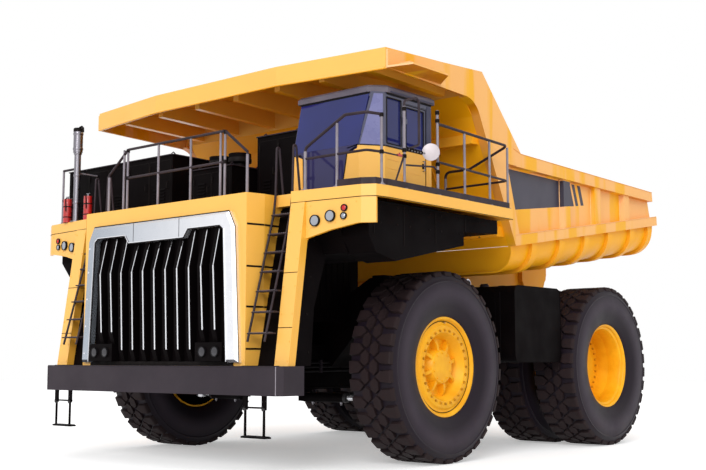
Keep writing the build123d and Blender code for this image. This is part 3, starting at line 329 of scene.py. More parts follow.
# %% Dress the CAD nodes
for name, node in nodes.items():
    node.data.materials.clear()
    in_bed = name.startswith("bed_") and name != "bed_canopy"
    node.data.materials.append(bed_yellow if in_bed else finishes[slot_of[name]])
print("dressed", len(nodes), "nodes")

# %% [markdown]
# ## Floor, sky and lamps
# The truck stands in a white studio. The floor is pale and takes a soft shadow, and what is
# beyond it is white. A broad sun from the front left gives the shapes their light and shade, a
# weaker one low on the same side reaches under the decks, and the white room fills the rest.
# The floor and the room look brighter to the camera than the light that they give, so both
# share one mask.

# %% What the camera sees directly


def seen_mask(tree):
    """1 for what the camera sees, straight, mirrored or through glass, and 0 for other light."""
    path = add(tree, "ShaderNodeLightPath").outputs
    seen = add(tree, "ShaderNodeMath", {0: path["Is Camera Ray"], 1: path["Is Glossy Ray"]},
               operation="MAXIMUM")
    return add(tree, "ShaderNodeMath", {0: seen.outputs[0], 1: path["Is Transmission Ray"]},
               operation="MAXIMUM").outputs[0]


print("mask ready")

# %% Floor
floor_mesh = bpy.data.meshes.new("floor")
reach = 60.0
floor_mesh.from_pydata([(-reach, -reach, 0), (reach, -reach, 0), (reach, reach, 0), (-reach, reach, 0)],
                       [], [(0, 1, 2, 3)])
floor = stand("floor", floor_mesh)
floor.location.z = cad_box[0][2] - 0.001
pale, tree, shader, place = start_material("pale_floor")
speck = add(tree, "ShaderNodeTexNoise", {"Vector": place, "Scale": 0.2, "Detail": 2.0})
shade = add(tree, "ShaderNodeMix", {"Factor": speck.outputs["Fac"], "A": linear("#F6F6F6"),
                                    "B": linear("#FBFBFB")}, data_type="RGBA")
floor_glow = 0.36
lift = add(tree, "ShaderNodeMath", {0: seen_mask(tree), 1: floor_glow}, operation="MULTIPLY")
fill(tree, shader, {"Base Color": shade.outputs["Result"], "Roughness": 0.9, "Specular IOR Level": 0.0,
                    "Emission Color": linear("#FFFFFF"), "Emission Strength": lift.outputs[0]})
floor_mesh.materials.append(pale)
print("floor at", round(floor.location.z, 4))

# %% White room and two suns
world = bpy.data.worlds.new("white_room")
world.use_nodes = True
bpy.context.scene.world = world
tree = world.node_tree
tree.nodes.clear()
room = add(tree, "ShaderNodeBackground", {"Color": linear("#FFFFFF"), "Strength": 0.75})
white = add(tree, "ShaderNodeBackground", {"Color": linear("#FFFFFF"), "Strength": 1.0})
mixed = add(tree, "ShaderNodeMixShader", {0: seen_mask(tree), 1: room.outputs[0], 2: white.outputs[0]})
add(tree, "ShaderNodeOutputWorld", {"Surface": mixed.outputs[0]})


def broad_sun(name, strength, spread, along):
    """A sun with a wide disc, spread in degrees, that shines along a direction."""
    data = bpy.data.lights.new(name, "SUN")
    data.energy = strength
    data.angle = math.radians(spread)
    stand(name, data).rotation_euler = Vector(along).to_track_quat("-Z", "Y").to_euler()


broad_sun("sun", 1.5, 30, (-0.5, 1.0, -0.6))
broad_sun("fill", 0.55, 50, (-0.8, 1.0, -0.12))
print("stage and light set")

# %% [markdown]
# ## A small kit for meshes
# Pieces are gathered as plain lists of points and faces, then joined into one mesh, where each
# part keeps its own finish. A piece may ask for a bevel where the real edges are soft.

# %% Mesh kit


class Shape:
    """Points and faces of one part, in metres."""

    def __init__(self):
        self.points = []
        self.faces = []

    def take(self, points, faces):
        """Adds points with the faces between them."""
        start = len(self.points)
        self.points.extend(tuple(p) for p in points)
        self.faces.extend(tuple(start + k for k in face) for face in faces)
        return self

    def shift(self, x=0.0, y=0.0, z=0.0):
        """Moves the whole part by a step."""
        self.points = [(px + x, py + y, pz + z) for px, py, pz in self.points]
        return self

    def slab(self, outline, axis, low, high):
        """An outline in the two other axes, drawn out along one axis."""
        def at(a, b, c):
            return {"X": (c, a, b), "Y": (a, c, b), "Z": (a, b, c)}[axis]
        count = len(outline)
        points = [at(a, b, low) for a, b in outline] + [at(a, b, high) for a, b in outline]
        faces = [tuple(range(count)), tuple(range(2 * count - 1, count - 1, -1))]
        faces += [(k, (k + 1) % count, count + (k + 1) % count, count + k) for k in range(count)]
        return self.take(points, faces)

    def box(self, low, high):
        """A block between two corners."""
        outline = [(low[0], low[1]), (high[0], low[1]), (high[0], high[1]), (low[0], high[1])]
        return self.slab(outline, "Z", low[2], high[2])

    def lathe(self, profile, steps, closed=False):
        """A profile of (x, radius) turned about the X axis through the origin."""
        count = len(profile)
        points = []
        for k in range(steps):
            turn = 2 * math.pi * k / steps
            points += [(x, -r * math.sin(turn), r * math.cos(turn)) for x, r in profile]
        faces = []
        last = count if closed else count - 1
        for k in range(steps):
            a, b = k * count, ((k + 1) % steps) * count
            for j in range(last):
                n = (j + 1) % count
                faces.append((a + j, a + n, b + n, b + j))
        self.take(points, faces)
        if not closed:
            start = len(self.points) - len(points)
            for j in (0, count - 1):
                if profile[j][1] > 0.0005:
                    self.faces.append(tuple(start + k * count + j for k in range(steps)))
        return self

    def tube(self, path, radius, sides=10):
        """A round bar along a row of points, closed at both ends."""
        path = [Vector(p) for p in path]
        ahead = [(path[min(k + 1, len(path) - 1)] - path[max(k - 1, 0)]).normalized()
                 for k in range(len(path))]
        side = ahead[0].orthogonal().normalized()
        points = []
        for p, d in zip(path, ahead):
            side = (side - d * side.dot(d)).normalized()
            up = d.cross(side)
            points += [p + radius * (side * math.cos(2 * math.pi * k / sides)
                                     + up * math.sin(2 * math.pi * k / sides)) for k in range(sides)]
        faces = [tuple(range(sides - 1, -1, -1)),
                 tuple(range((len(path) - 1) * sides, len(path) * sides))]
        for j in range(len(path) - 1):
            a = j * sides
            faces += [(a + k, a + (k + 1) % sides, a + sides + (k + 1) % sides, a + sides + k)
                      for k in range(sides)]
        return self.take(points, faces)

    def mesh(self, name):
        """The part as a Blender mesh."""
        mesh = bpy.data.meshes.new(name)
        mesh.from_pydata(self.points, [], self.faces)
        return mesh


def assemble(name, parts, body, replaces=(), places=(Matrix.Identity(4),), bevel=0.0, smooth=38):
    """Joins (part, material) pairs at each place into one piece that rides on a body."""
    whole = bmesh.new()
    materials = []
    for place in places:
        for part, material in parts:
            mesh = part.mesh(name) if isinstance(part, Shape) else part
            if material not in materials:
                materials.append(material)
            old_faces, old_points = len(whole.faces), len(whole.verts)
            whole.from_mesh(mesh)
            whole.faces.ensure_lookup_table()
            whole.verts.ensure_lookup_table()
            for face in whole.faces[old_faces:]:
                face.material_index = materials.index(material)
            bmesh.ops.transform(whole, matrix=place, verts=whole.verts[old_points:])
    bmesh.ops.remove_doubles(whole, verts=whole.verts, dist=1e-6)
    bmesh.ops.recalc_face_normals(whole, faces=whole.faces)
    if bevel:
        sharp = [e for e in whole.edges if e.is_manifold and e.calc_face_angle() > math.radians(30)]
        bmesh.ops.bevel(whole, geom=sharp, offset=bevel, segments=2, profile=0.6, affect="EDGES",
                        clamp_overlap=True)
    mesh = bpy.data.meshes.new(name)
    whole.to_mesh(mesh)
    whole.free()
    for material in materials:
        mesh.materials.append(material)
    mesh.shade_smooth()
    mesh.set_sharp_from_angle(angle=math.radians(smooth))
    piece = stand(name, mesh)
    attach(piece, body)
    if replaces:
        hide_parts(*replaces)
    print(name, "polygons:", len(mesh.polygons))
    return piece


print("mesh kit ready")

# %% [markdown]
# ## Two trees that repeat a part
# Lugs and bolts go round a shaft, and strips and slats go along a line. Geometry Nodes does both:
# one tree turns each copy a little further about X, and the other moves each copy a step on.

# %% Geometry Nodes for repeats


def repeat_tree(name, turning):
    """A tree that copies its geometry round the X axis or along a step."""
    tree = bpy.data.node_groups.new(name, "GeometryNodeTree")
    for label, kind in (("Geometry", "NodeSocketGeometry"), ("Count", "NodeSocketInt"),
                        ("Step", "NodeSocketVector"), ("Material", "NodeSocketMaterial")):
        tree.interface.new_socket(name=label, in_out="INPUT", socket_type=kind)
    tree.interface.new_socket(name="Geometry", in_out="OUTPUT", socket_type="NodeSocketGeometry")
    given = add(tree, "NodeGroupInput").outputs
    zero = (0.0, 0.0, 0.0)
    line = add(tree, "GeometryNodeMeshLine", {"Count": given["Count"], "Offset": zero if turning
                                              else given["Step"]}, mode="OFFSET")
    copies = add(tree, "GeometryNodeInstanceOnPoints", {"Points": line.outputs["Mesh"],
                                                        "Instance": given["Geometry"]})
    if turning:
        index = add(tree, "GeometryNodeInputIndex").outputs["Index"]
        turn = add(tree, "ShaderNodeMath", {0: index, 1: given["Count"]}, operation="DIVIDE")
        angle = add(tree, "ShaderNodeMath", {0: turn.outputs[0], 1: 2 * math.pi},
                    operation="MULTIPLY")
        euler = add(tree, "ShaderNodeCombineXYZ", {"X": angle.outputs[0]})
        fill(tree, copies, {"Rotation": euler.outputs[0]})
    real = add(tree, "GeometryNodeRealizeInstances", {"Geometry": copies.outputs["Instances"]})
    dressed = add(tree, "GeometryNodeSetMaterial", {"Geometry": real.outputs["Geometry"],
                                                    "Material": given["Material"]})
    add(tree, "NodeGroupOutput", {"Geometry": dressed.outputs["Geometry"]})
    return tree


round_tree = repeat_tree("copies_round_a_shaft", True)
row_tree = repeat_tree("copies_in_a_row", False)


def grown(part, tree, material, count, step=(0.0, 0.0, 0.0)):
    """Runs a repeating tree on one part and keeps the result as a plain mesh."""
    carrier = stand("carrier", part.mesh("carrier"))
    modifier = carrier.modifiers.new("repeat", "NODES")
    modifier.node_group = tree
    values = {"Count": count, "Step": step, "Material": material}
    for item in tree.interface.items_tree:
        if item.in_out == "INPUT" and item.name in values:
            modifier[item.identifier] = values[item.name]
    ready = carrier.evaluated_get(bpy.context.evaluated_depsgraph_get())
    mesh = bpy.data.meshes.new_from_object(ready)
    carrier.modifiers.clear()
    bpy.data.objects.remove(carrier)
    return mesh


def in_row(part, material, count, step):
    """A part repeated along a step, with its finish, as assemble takes it."""
    return grown(part, row_tree, material, count, step), material


def round_shaft(part, material, count):
    """A part repeated round the X axis, with its finish, as assemble takes it."""
    return grown(part, round_tree, material, count), material


print("trees:", round_tree.name, row_tree.name)

# %% [markdown]
# ## Tyres
# An earthmover tyre's sidewall runs smoothly up to the tread, and the lugs show at its edge as
# a row of notches. Two rows of staggered blocks fill the middle, with narrow grooves between.
# The sidewall is a lathe profile with a raised ring. One pitch of tread is modelled and copied
# 34 times round the wheel, which keeps every lug the same and the seams closed.

# %% Tyre sizes and the sidewall
front_y, rear_y = -2.02, 3.23
tyre_r = 1.53
# a corner of a lug reaches no further than this, so that no lug dips into the ground
lug_reach = 1.5305
lug_flare = 0.014
pitches = 34
pitch = 2 * math.pi * 1.5 / pitches

side_profile = [
    # x, radius from the bead out to the groove floor
    (0.3, 0.79), (0.335, 0.8), (0.36, 0.826), (0.378, 0.868), (0.4, 0.925), (0.42, 0.99),
    (0.434, 1.06), (0.442, 1.13), (0.444, 1.19), (0.442, 1.25), (0.436, 1.31), (0.43, 1.352),
    (0.4345, 1.358), (0.4345, 1.376), (0.426, 1.383), (0.414, 1.42), (0.402, 1.452), (0.392, 1.47),
    (0.36, 1.477), (0.2, 1.48), (0.0, 1.481)]
carcass = Shape().lathe(side_profile + [(-x, r) for x, r in reversed(side_profile[:-1])], 136,
                        closed=True)
print("one pitch of tread is", round(pitch, 3), "m")

# %% One pitch of tread


def lug(stations, inner):
    """A block lofted over stations of (x, radius, half length), down to a base set by inner."""
    rims = []
    stations = [(x, min(r, math.sqrt(lug_reach ** 2 - half ** 2)), half) for x, r, half in stations]
    for x, r, half in stations:
        rims.append([(x, r, -half), (x, r, half)])
    for k, (x, r, half) in enumerate(stations):
        drop, pull = inner[k]
        rims.append([(x - pull, r - drop, -half - lug_flare), (x - pull, r - drop, half + lug_flare)])
    points = [(x, -side, r) for rim in rims for x, r, side in rim]
    n = len(stations)
    faces = []
    for k in range(n - 1):
        a, b, c, d = 2 * k, 2 * k + 2, 2 * n + 2 * k, 2 * n + 2 * k + 2
        faces += [(a, b, b + 1, a + 1), (a, c, d, b), (a + 1, b + 1, d + 1, c + 1),
                  (c, c + 1, d + 1, d)]
    faces += [(0, 1, 2 * n + 1, 2 * n), (2 * n - 2, 4 * n - 2, 4 * n - 1, 2 * n - 1)]
    return points, faces


def turned(points, angle, flip=False):
    """Points turned about X by an angle, and mirrored to the other side if asked."""
    c, s = math.cos(angle), math.sin(angle)
    return [(-x if flip else x, y * c - z * s, y * s + z * c) for x, y, z in points]


shoulder = lug([(0.128, 1.53, 0.004), (0.212, 1.53, 0.08), (0.3, 1.529, 0.086),
                (0.372, 1.528, 0.09), (0.392, 1.524, 0.09), (0.403, 1.512, 0.09),
                (0.408, 1.48, 0.092), (0.412, 1.452, 0.094)],
               [(0.06, 0.0), (0.06, 0.0), (0.06, 0.0), (0.062, 0.0), (0.062, 0.01),
                (0.055, 0.03), (0.03, 0.04), (0.01, 0.04)])
centre = lug([(0.014, 1.53, 0.062), (0.052, 1.53, 0.09), (0.086, 1.53, 0.118),
              (0.122, 1.53, 0.09), (0.16, 1.53, 0.056)],
             [(0.06, 0.0)] * 5)
tread = Shape()
quarter = math.pi / pitches
for flip, shift in ((False, 0.0), (True, quarter)):
    points, faces = shoulder
    tread.take(turned(points, shift, flip), faces)
    points, faces = centre
    tread.take(turned(points, shift + quarter, flip), faces)
treads = round_shaft(tread, tread_rubber, pitches)
print("tread polygons:", len(treads[0].polygons))

# %% [markdown]
# ## A second colour over a paint
# Painted light, masked stripes and painted reflection streaks are one thing to a shader: a second
# colour laid over the first where a rule says so. It could be painted on an image, but a rule stays
# sharp at any size. One function copies a paint and mixes the second colour in, and is handed the
# rule. On a tyre the rule is a ring round the axle, where a lighter band is painted on the belly of
# the sidewall as the light on its bulge.

# %% Paint over paint


def painted_over(material, name, cover, colours):
    """A copy of a paint with a second colour where cover(tree, place) gives 1."""
    material = material.copy()
    material.name = name
    tree = material.node_tree
    shader = next(node for node in tree.nodes if node.bl_idname == "ShaderNodeBsdfPrincipled")
    base = shader.inputs["Base Color"].links[0].from_socket
    place = add(tree, "ShaderNodeTexCoord").outputs["Object"]
    cloud = add(tree, "ShaderNodeTexNoise", {"Vector": place, "Scale": 2.0, "Detail": 4.0})
    second = add(tree, "ShaderNodeMix", {"Factor": cloud.outputs["Fac"], "A": linear(colours[0]),
                                         "B": linear(colours[1])}, data_type="RGBA")
    two = add(tree, "ShaderNodeMix", {"Factor": cover(tree, place), "A": base,
                                      "B": second.outputs["Result"]}, data_type="RGBA")
    fill(tree, shader, {"Base Color": two.outputs["Result"]})
    return material


def lit_belly_ring(axle_y):
    """A lighter band painted on the belly of a sidewall, where its bulge would catch the light, as a ring
    round an axle.
    """
    def cover(tree, place):
        off = add(tree, "ShaderNodeVectorMath", {0: place, 1: (0.0, axle_y, tyre_r)},
                  operation="SUBTRACT")
        flat = add(tree, "ShaderNodeVectorMath", {0: off.outputs["Vector"], 1: (0.0, 1.0, 1.0)},
                   operation="MULTIPLY")
        radius = add(tree, "ShaderNodeVectorMath", {0: flat.outputs["Vector"]},
                     operation="LENGTH").outputs["Value"]
        rise = add(tree, "ShaderNodeMapRange", {"Value": radius, "From Min": 0.98, "From Max": 1.16})
        fall = add(tree, "ShaderNodeMapRange", {"Value": radius, "From Min": 1.4, "From Max": 1.22})
        return add(tree, "ShaderNodeMath", {0: rise.outputs["Result"], 1: fall.outputs["Result"]},
                   operation="MULTIPLY").outputs[0]
    return cover


print("second colours ready")

# %% Put the tyres on the wheels
front_x, rear_outer_x, rear_inner_x = 2.955, 3.065, 1.905


def at_wheel(x, y, side):
    """The place of a wheel part: moved to its axle, and mirrored for the right side."""
    place = Matrix.Translation((side * x, y, tyre_r))
    return place @ Matrix.Diagonal((side, 1, 1, 1))


sides = ((1, "left"), (-1, "right"))
# a lighter band painted on each sidewall's belly, as the light on its bulge
belly_light_colours = ("#383039", "#2D2530")
front_side = painted_over(sidewall_rubber, "front_sidewall_painted_light", lit_belly_ring(front_y), belly_light_colours)
rear_side = painted_over(sidewall_rubber, "rear_sidewall_painted_light", lit_belly_ring(rear_y), belly_light_colours)
for side, word in sides:
    assemble("tyre_front_" + word, [(carcass, front_side), treads],
             "front_wheel_" + word, ["front_tyre_" + word],
             [at_wheel(front_x, front_y, side)])
    assemble("tyres_rear_" + word, [(carcass, rear_side), treads],
             "rear_wheels_" + word, ["rear_tyres_" + word],
             [at_wheel(x, rear_y, side) for x in (rear_outer_x, rear_inner_x)])

# %% [markdown]
# ## Rims
# The front rim is turned in one profile: a rolled flange, a gutter, the flat clamp ring with its
# wedge bolts, then a dish with eight ribs round the hub. Each bolt is a nut with its stud and
# washer in a browner, darker paint than the rim. Ribs and bolts repeat, so the round tree copies
# one of each. The rear rim is an open barrel with the final drive far inside.

# %% Front rim
# the bolts are a browner, darker yellow than the rim
darker_bolt_paint = enamel("darker_bolt_enamel", "#DE9A12", "#A06C10", 0.5, cloud_m=0.05, wave_m=0.1, wave_mm=0.5,
                  specular=0.3)
front_dish = Shape().lathe([
    # x, radius from the back of the barrel out to the flange and in to the hub
    (-0.33, 0.7895), (0.3, 0.7895), (0.304, 0.826), (0.318, 0.832), (0.328, 0.829), (0.332, 0.818),
    (0.33, 0.772), (0.322, 0.758), (0.296, 0.746), (0.287, 0.736), (0.285, 0.698), (0.292, 0.684),
    (0.316, 0.664), (0.322, 0.656), (0.323, 0.6), (0.322, 0.548), (0.312, 0.536), (0.15, 0.466),
    (0.132, 0.452), (0.13, 0.31), (0.142, 0.3), (0.262, 0.266), (0.272, 0.256), (0.276, 0.2),
    (0.277, 0.0), (0.19, 0.0), (0.19, 0.1515), (-0.17, 0.1515), (-0.17, 0.33), (0.06, 0.33),
    (0.06, 0.48), (0.23, 0.59), (0.23, 0.69), (-0.33, 0.76)], 112)
rib = Shape().slab([(0.11, 0.262), (0.11, 0.5), (0.16, 0.5), (0.232, 0.42), (0.252, 0.34),
                    (0.252, 0.262)], "Y", -0.026, 0.026)
ribs = grown(rib, round_tree, finishes["rim"], 8)
ribs.transform(Matrix.Rotation(math.radians(15), 4, "X"))
stud = Shape().lathe([(0.318, 0.0), (0.318, 0.027), (0.323, 0.027), (0.3235, 0.02), (0.345, 0.019),
                      (0.3455, 0.01), (0.353, 0.009), (0.354, 0.0)], 6).shift(z=0.585)
studs = round_shaft(stud, darker_bolt_paint, 28)
cap_bolt = Shape().lathe([(0.27, 0.0), (0.27, 0.015), (0.288, 0.015), (0.29, 0.0)],
                         6).shift(z=0.222)
cap_bolts = round_shaft(cap_bolt, finishes["rim"], 10)
groove = Shape().lathe([(0.286, 0.722), (0.29, 0.724), (0.29, 0.734), (0.286, 0.737)], 112, closed=True)
valve = Shape().tube([(0.285, 0.0, 0.712), (0.33, 0.0, 0.704), (0.336, 0.0, 0.69)], 0.008, 8)
for side, word in sides:
    assemble("rim_front_" + word,
             [(front_dish, finishes["rim"]), (ribs, finishes["rim"]), studs, cap_bolts,
              (groove, line_black), (valve, finishes["steel"])],
             "front_wheel_" + word, ["front_rim_" + word], [at_wheel(front_x, front_y, side)])

# %% Rear rims
barrel = Shape().lathe([
    (-0.33, 0.7895), (-0.33, 0.7), (-0.04, 0.7), (-0.02, 0.706), (0.01, 0.706),
    (0.03, 0.7), (0.23, 0.704), (0.258, 0.716), (0.276, 0.752), (0.3, 0.756), (0.318, 0.77),
    (0.334, 0.8), (0.336, 0.826), (0.326, 0.834), (0.31, 0.83), (0.304, 0.7895)], 96, closed=True)
web_x = rear_outer_x - 0.3 + 0.02
drive = Shape().lathe([
    (web_x, 0.1515), (web_x, 0.705), (web_x + 0.04, 0.705), (web_x + 0.04, 0.47),
    (web_x + 0.075, 0.455), (web_x + 0.08, 0.33), (web_x + 0.14, 0.3), (web_x + 0.15, 0.0),
    (web_x + 0.08, 0.0), (web_x + 0.08, 0.1515)], 96).shift(x=-rear_outer_x)
spacer_end = 0.26
spacer_start = rear_inner_x + spacer_end - rear_outer_x
spacer = Shape().lathe([(spacer_start, 0.7), (spacer_start, 0.74), (-spacer_end, 0.74),
                        (-spacer_end, 0.7)], 96, closed=True)
drive_bolt = Shape().lathe([(0.0, 0.0), (0.0, 0.022), (0.026, 0.022), (0.028, 0.0)], 6)
drive_bolt.shift(x=web_x + 0.04 - rear_outer_x, z=0.6)
drive_bolts = round_shaft(drive_bolt, darker_bolt_paint, 32)
inner_barrel = barrel.mesh("inner_barrel")
inner_barrel.transform(Matrix.Translation((rear_inner_x - rear_outer_x, 0, 0)))
for side, word in sides:
    assemble("rims_rear_" + word,
             [(barrel, finishes["rim"]), (drive, finishes["rim"]), (spacer, finishes["rim"]),
              drive_bolts, (inner_barrel, finishes["rim"])],
             "rear_wheels_" + word, ["rear_rims_" + word],
             [at_wheel(rear_outer_x, rear_y, side)])

# %% [markdown]
# ## Small parts that many places use
# A bolt head, a round weld bead, a strip on a plate and a ring round a tube come back all over
# the truck. Each is a few lines here, so a piece is a list of places and sizes in metres.
# Places along the truck are given as metres behind the front axle, which is easy to find on the
# real one. Strips and plates sink a little into what carries them, so no light shows below.

# %% Small parts
sunk = 0.002
leftward, forward, rearward = (1, 0, 0), (0, -1, 0), (0, 1, 0)
upward, downward = (0, 0, 1), (0, 0, -1)


def aft(distance):
    """Y of a place this far behind the front axle, in metres."""
    return front_y + distance


def strip(points, wide, high, normal):
    """A flat bar along points on a plate: wide across it, high along the plate's normal."""
    part = Shape()
    up = Vector(normal).normalized()
    for start, end in zip(points[:-1], points[1:]):
        a, b = Vector(start), Vector(end)
        along = (b - a).normalized()
        across = along.cross(up).normalized() * wide / 2
        corners = [a - across, a + across, b + across, b - across]
        low = [c - up * sunk for c in corners]
        top = [c + up * high for c in corners]
        part.take(low + top, [(3, 2, 1, 0), (4, 5, 6, 7), (0, 1, 5, 4), (1, 2, 6, 5), (2, 3, 7, 6),
                              (3, 0, 4, 7)])
    return part


def plate(corners, thick, normal):
    """A flat sheet with the given corners, standing thick off what carries it."""
    up = Vector(normal).normalized()
    count = len(corners)
    points = [Vector(c) - up * sunk for c in corners] + [Vector(c) + up * thick for c in corners]
    faces = [tuple(reversed(range(count))), tuple(range(count, 2 * count))]
    faces += [(k, (k + 1) % count, count + (k + 1) % count, count + k) for k in range(count)]
    return Shape().take(points, faces)


def ring_at(centre, along, profile, steps=20):
    """A lathe profile of (distance along, radius) set on an axis at a place."""
    turn = Vector(leftward).rotation_difference(Vector(along).normalized()).to_matrix()
    part = Shape().lathe(profile, steps)
    return Shape().take([turn @ Vector(p) + Vector(centre) for p in part.points], part.faces)


def bolts_at(centres, along, radius):
    """Hexagon bolts with washers that stand on a face."""
    part = Shape()
    for centre in centres:
        bolt = ring_at(centre, along, [(-0.004, 0.0), (-0.004, radius * 1.35), (0.005, radius * 1.35),
                                       (0.006, radius), (radius * 0.9, radius), (radius, radius * 0.7),
                                       (radius, 0.0)], 6)
        part.take(bolt.points, bolt.faces)
    return part


def many(parts):
    """Several parts as one."""
    whole = Shape()
    for part in parts:
        whole.take(part.points, part.faces)
    return whole


def closed_strip(points, wide, high, normal):
    """A strip that ends where it starts."""
    return strip(points + points[:1], wide, high, normal)


def upright_frame(x, a0, a1, z0, z1):
    """Corners of an upright rectangle in the plane of x."""
    return [(x, aft(a0), z0), (x, aft(a0), z1), (x, aft(a1), z1), (x, aft(a1), z0)]


def side_place(side):
    """The place of a piece that is drawn for the left: as drawn (1), or mirrored (-1)."""
    return [Matrix.Diagonal((side, 1, 1, 1))]


def both(part):
    """A part and its mirror image on the right side."""
    other = [(-x, y, z) for x, y, z in part.points]
    return many([part, Shape().take(other, [tuple(reversed(face)) for face in part.faces])])


def weld(points, radius=0.009):
    """A weld bead along a line, in short lengths, so that it keeps its thickness at a corner."""
    longest = 0.09
    path = []
    for start, end in zip(points[:-1], points[1:]):
        a, b = Vector(start), Vector(end)
        steps = max(2, int((b - a).length / longest))
        path += [a.lerp(b, k / steps) for k in range(steps)]
    path.append(Vector(points[-1]))
    return Shape().tube(path, radius, 6)


print("small parts ready")

# %% [markdown]
# ## Grille
# The front is a bright frame with eleven broad black fins behind it. Each fin has a thin polished
# edge, and the light catches little else there. The fins bend at half height and end at a
# stepped opening, so a loop lays two strips on each fin instead of a row of one edge.

# %% Grille edges and frame


def painted_reflection_across(tree, place):
    """From 0 at the surround's left-hand end to 1 at its right-hand end, where a greyer reflection is
    painted on.
    """
    across = add(tree, "ShaderNodeSeparateXYZ", {"Vector": place}).outputs["X"]
    return add(tree, "ShaderNodeMapRange", {"Value": across, "From Min": 1.5,
                                            "From Max": -1.7}).outputs["Result"]


# the chrome is painted greyer towards its right-hand end, as a painted reflection
nodes["grille_surround"].data.materials[0] = painted_over(
    finishes["chrome"], "chrome_painted_reflection", painted_reflection_across, ("#B4BBC4", "#9FA7B2"))
fin_x = [(k - 5) * 0.275 for k in range(11)]
edges = []
for x in fin_x:
    top = 3.64 if abs(x) > 0.7 else 3.51
    low = 1.91 if abs(x) > 1.0 else 1.62
    edge_x = x + 0.04
    bend = (edge_x, aft(-3.312), 3.05)
    edges.append(strip([bend, (edge_x, aft(-3.26), low + 0.18)], 0.024, 0.006, (0.0, -1.0, 0.05)))
    edges.append(strip([(edge_x, aft(-3.19), top - 0.02), bend], 0.014, 0.004, (0.0, -1.0, 0.25)))
frame_y = aft(-3.2603)
outer_line = [(-1.89, 1.6), (-1.78, 3.62), (-1.65, 3.86), (1.65, 3.86), (1.78, 3.62),
              (1.89, 1.6)]
inner_line = [(-1.65, 1.6), (-1.56, 3.59), (-1.48, 3.65), (-0.76, 3.65), (-0.66, 3.52),
              (0.66, 3.52), (0.76, 3.65), (1.48, 3.65), (1.56, 3.59), (1.65, 1.6)]
dark_rim = strip([(x * 0.996, frame_y + 0.046, z) for x, z in outer_line], 0.022, 0.006, forward)
inner_rim = strip([(x, frame_y, z) for x, z in inner_line], 0.018, 0.005, forward)
inner_lip = strip([(x * 1.012, frame_y, z + 0.012) for x, z in inner_line], 0.012, 0.012, forward)
joints = [strip([(s * 0.56, frame_y, 3.52), (s * 0.56, frame_y, 3.86)], 0.006, 0.003, forward)
          for s in (-1, 1)]
screws = bolts_at([(s * (1.7 + (3.62 - z) * 0.047), frame_y, z) for s in (-1, 1)
                   for z in (1.75, 2.2, 2.65, 3.1, 3.5)], forward, 0.012)
sill = plate([(-1.72, aft(-3.16), 1.552), (1.72, aft(-3.16), 1.552), (1.72, aft(-3.16), 1.615),
              (-1.72, aft(-3.16), 1.615)], 0.02, forward)
assemble("grille_trim",
         [(many(edges), finishes["chrome"]), (many([sill, dark_rim, inner_rim]), line_black),
          (inner_lip, finishes["chrome"]), (many(joints), line_black), (screws, finishes["chrome"])],
         "chassis")

# %% [markdown]
# ## Lamps
# A work lamp is a shallow bowl behind a fluted lens, held by a black rubber ring. The CAD has the
# right place and size for each, so the bowls, rings and lenses are turned on the same axes.
# The small ones are signals, red over white, and the low pairs by the grille are smoked.

# %% Lamps
lamp_parts = {"ring": [], "bowl": [], "lens": [], "red": [], "smoked": []}


def work_lamp(centre, along, radius, deep, kind):
    """A lamp from its seat: body, rubber ring and a fluted lens with a crowned face."""
    lamp_parts["bowl"].append(ring_at(centre, along, [
        (0.0, 0.0), (0.0, radius * 0.8), (deep * 0.7, radius * 0.97), (deep * 0.7, 0.0)]))
    lamp_parts["ring"].append(ring_at(centre, along, [
        (0.0, radius * 0.6), (0.0, radius), (deep, radius), (deep, radius - 0.013),
        (deep * 0.78, radius - 0.015), (deep * 0.5, radius * 0.6)], 28))
    flutes = [(deep * 0.72, 0.0)]
    for k in range(8, -1, -1):
        r = (radius - 0.014) * k / 8
        flutes.append((deep * (0.92 - 0.1 * (k / 8) ** 2) - (0.002 if k % 2 else 0.0), r))
    flutes.insert(1, (deep * 0.72, radius - 0.014))
    lamp_parts[kind].append(ring_at(centre, along, flutes, 28))


panel_x, panel_a = (2.5, 3.74), (-2.775, -2.64)
panel_sweep = (panel_a[1] - panel_a[0]) / (panel_x[1] - panel_x[0])
panel_out = Vector((panel_sweep, -1.0, 0.0)).normalized()


def panel_y(x):
    """Y of the lamp panel's face, which sweeps back from the column."""
    return aft(panel_a[0] + (x - panel_x[0]) * panel_sweep)


for side in (-1, 1):
    for x, z, radius, deep, kind in (
            (2.95, 3.65, 0.085, 0.04, "lens"), (3.22, 3.7, 0.085, 0.04, "lens"),
            (3.46, 3.8, 0.052, 0.03, "red"), (3.45, 3.685, 0.052, 0.03, "lens")):
        work_lamp((side * x, panel_y(x), z), (side * panel_out.x, panel_out.y, 0), radius, deep, kind)
    for x in (1.18, 1.46):
        work_lamp((side * x, aft(-3.29), 1.76), forward, 0.08, 0.026, "smoked")
assemble("lamps_dressed",
         [(many(lamp_parts["ring"]), gasket_rubber), (many(lamp_parts["bowl"]), finishes["chrome"]),
          (many(lamp_parts["lens"]), finishes["lamp"]), (many(lamp_parts["red"]), finishes["red_lens"]),
          (many(lamp_parts["smoked"]), smoked_lens)],
         "chassis", ["lamps"])

# %% [markdown]
# ## Cab outside
# Above its belt the cab is glass and slate pillars, below it is yellow sheet. The pillars are
# painted on the shell itself at the belt, as a painter masks them. Gaskets run round the
# panes, and the slanted corner is one lavender film over glass and pillar.

# %% Paint the cab in two tones


def above_belt(tree, place):
    """1 above the masked edge at the cab's belt."""
    masked_edge = 4.885
    height = add(tree, "ShaderNodeSeparateXYZ", {"Vector": place}).outputs["Z"]
    return add(tree, "ShaderNodeMath", {0: height, 1: masked_edge}, operation="GREATER_THAN").outputs[0]


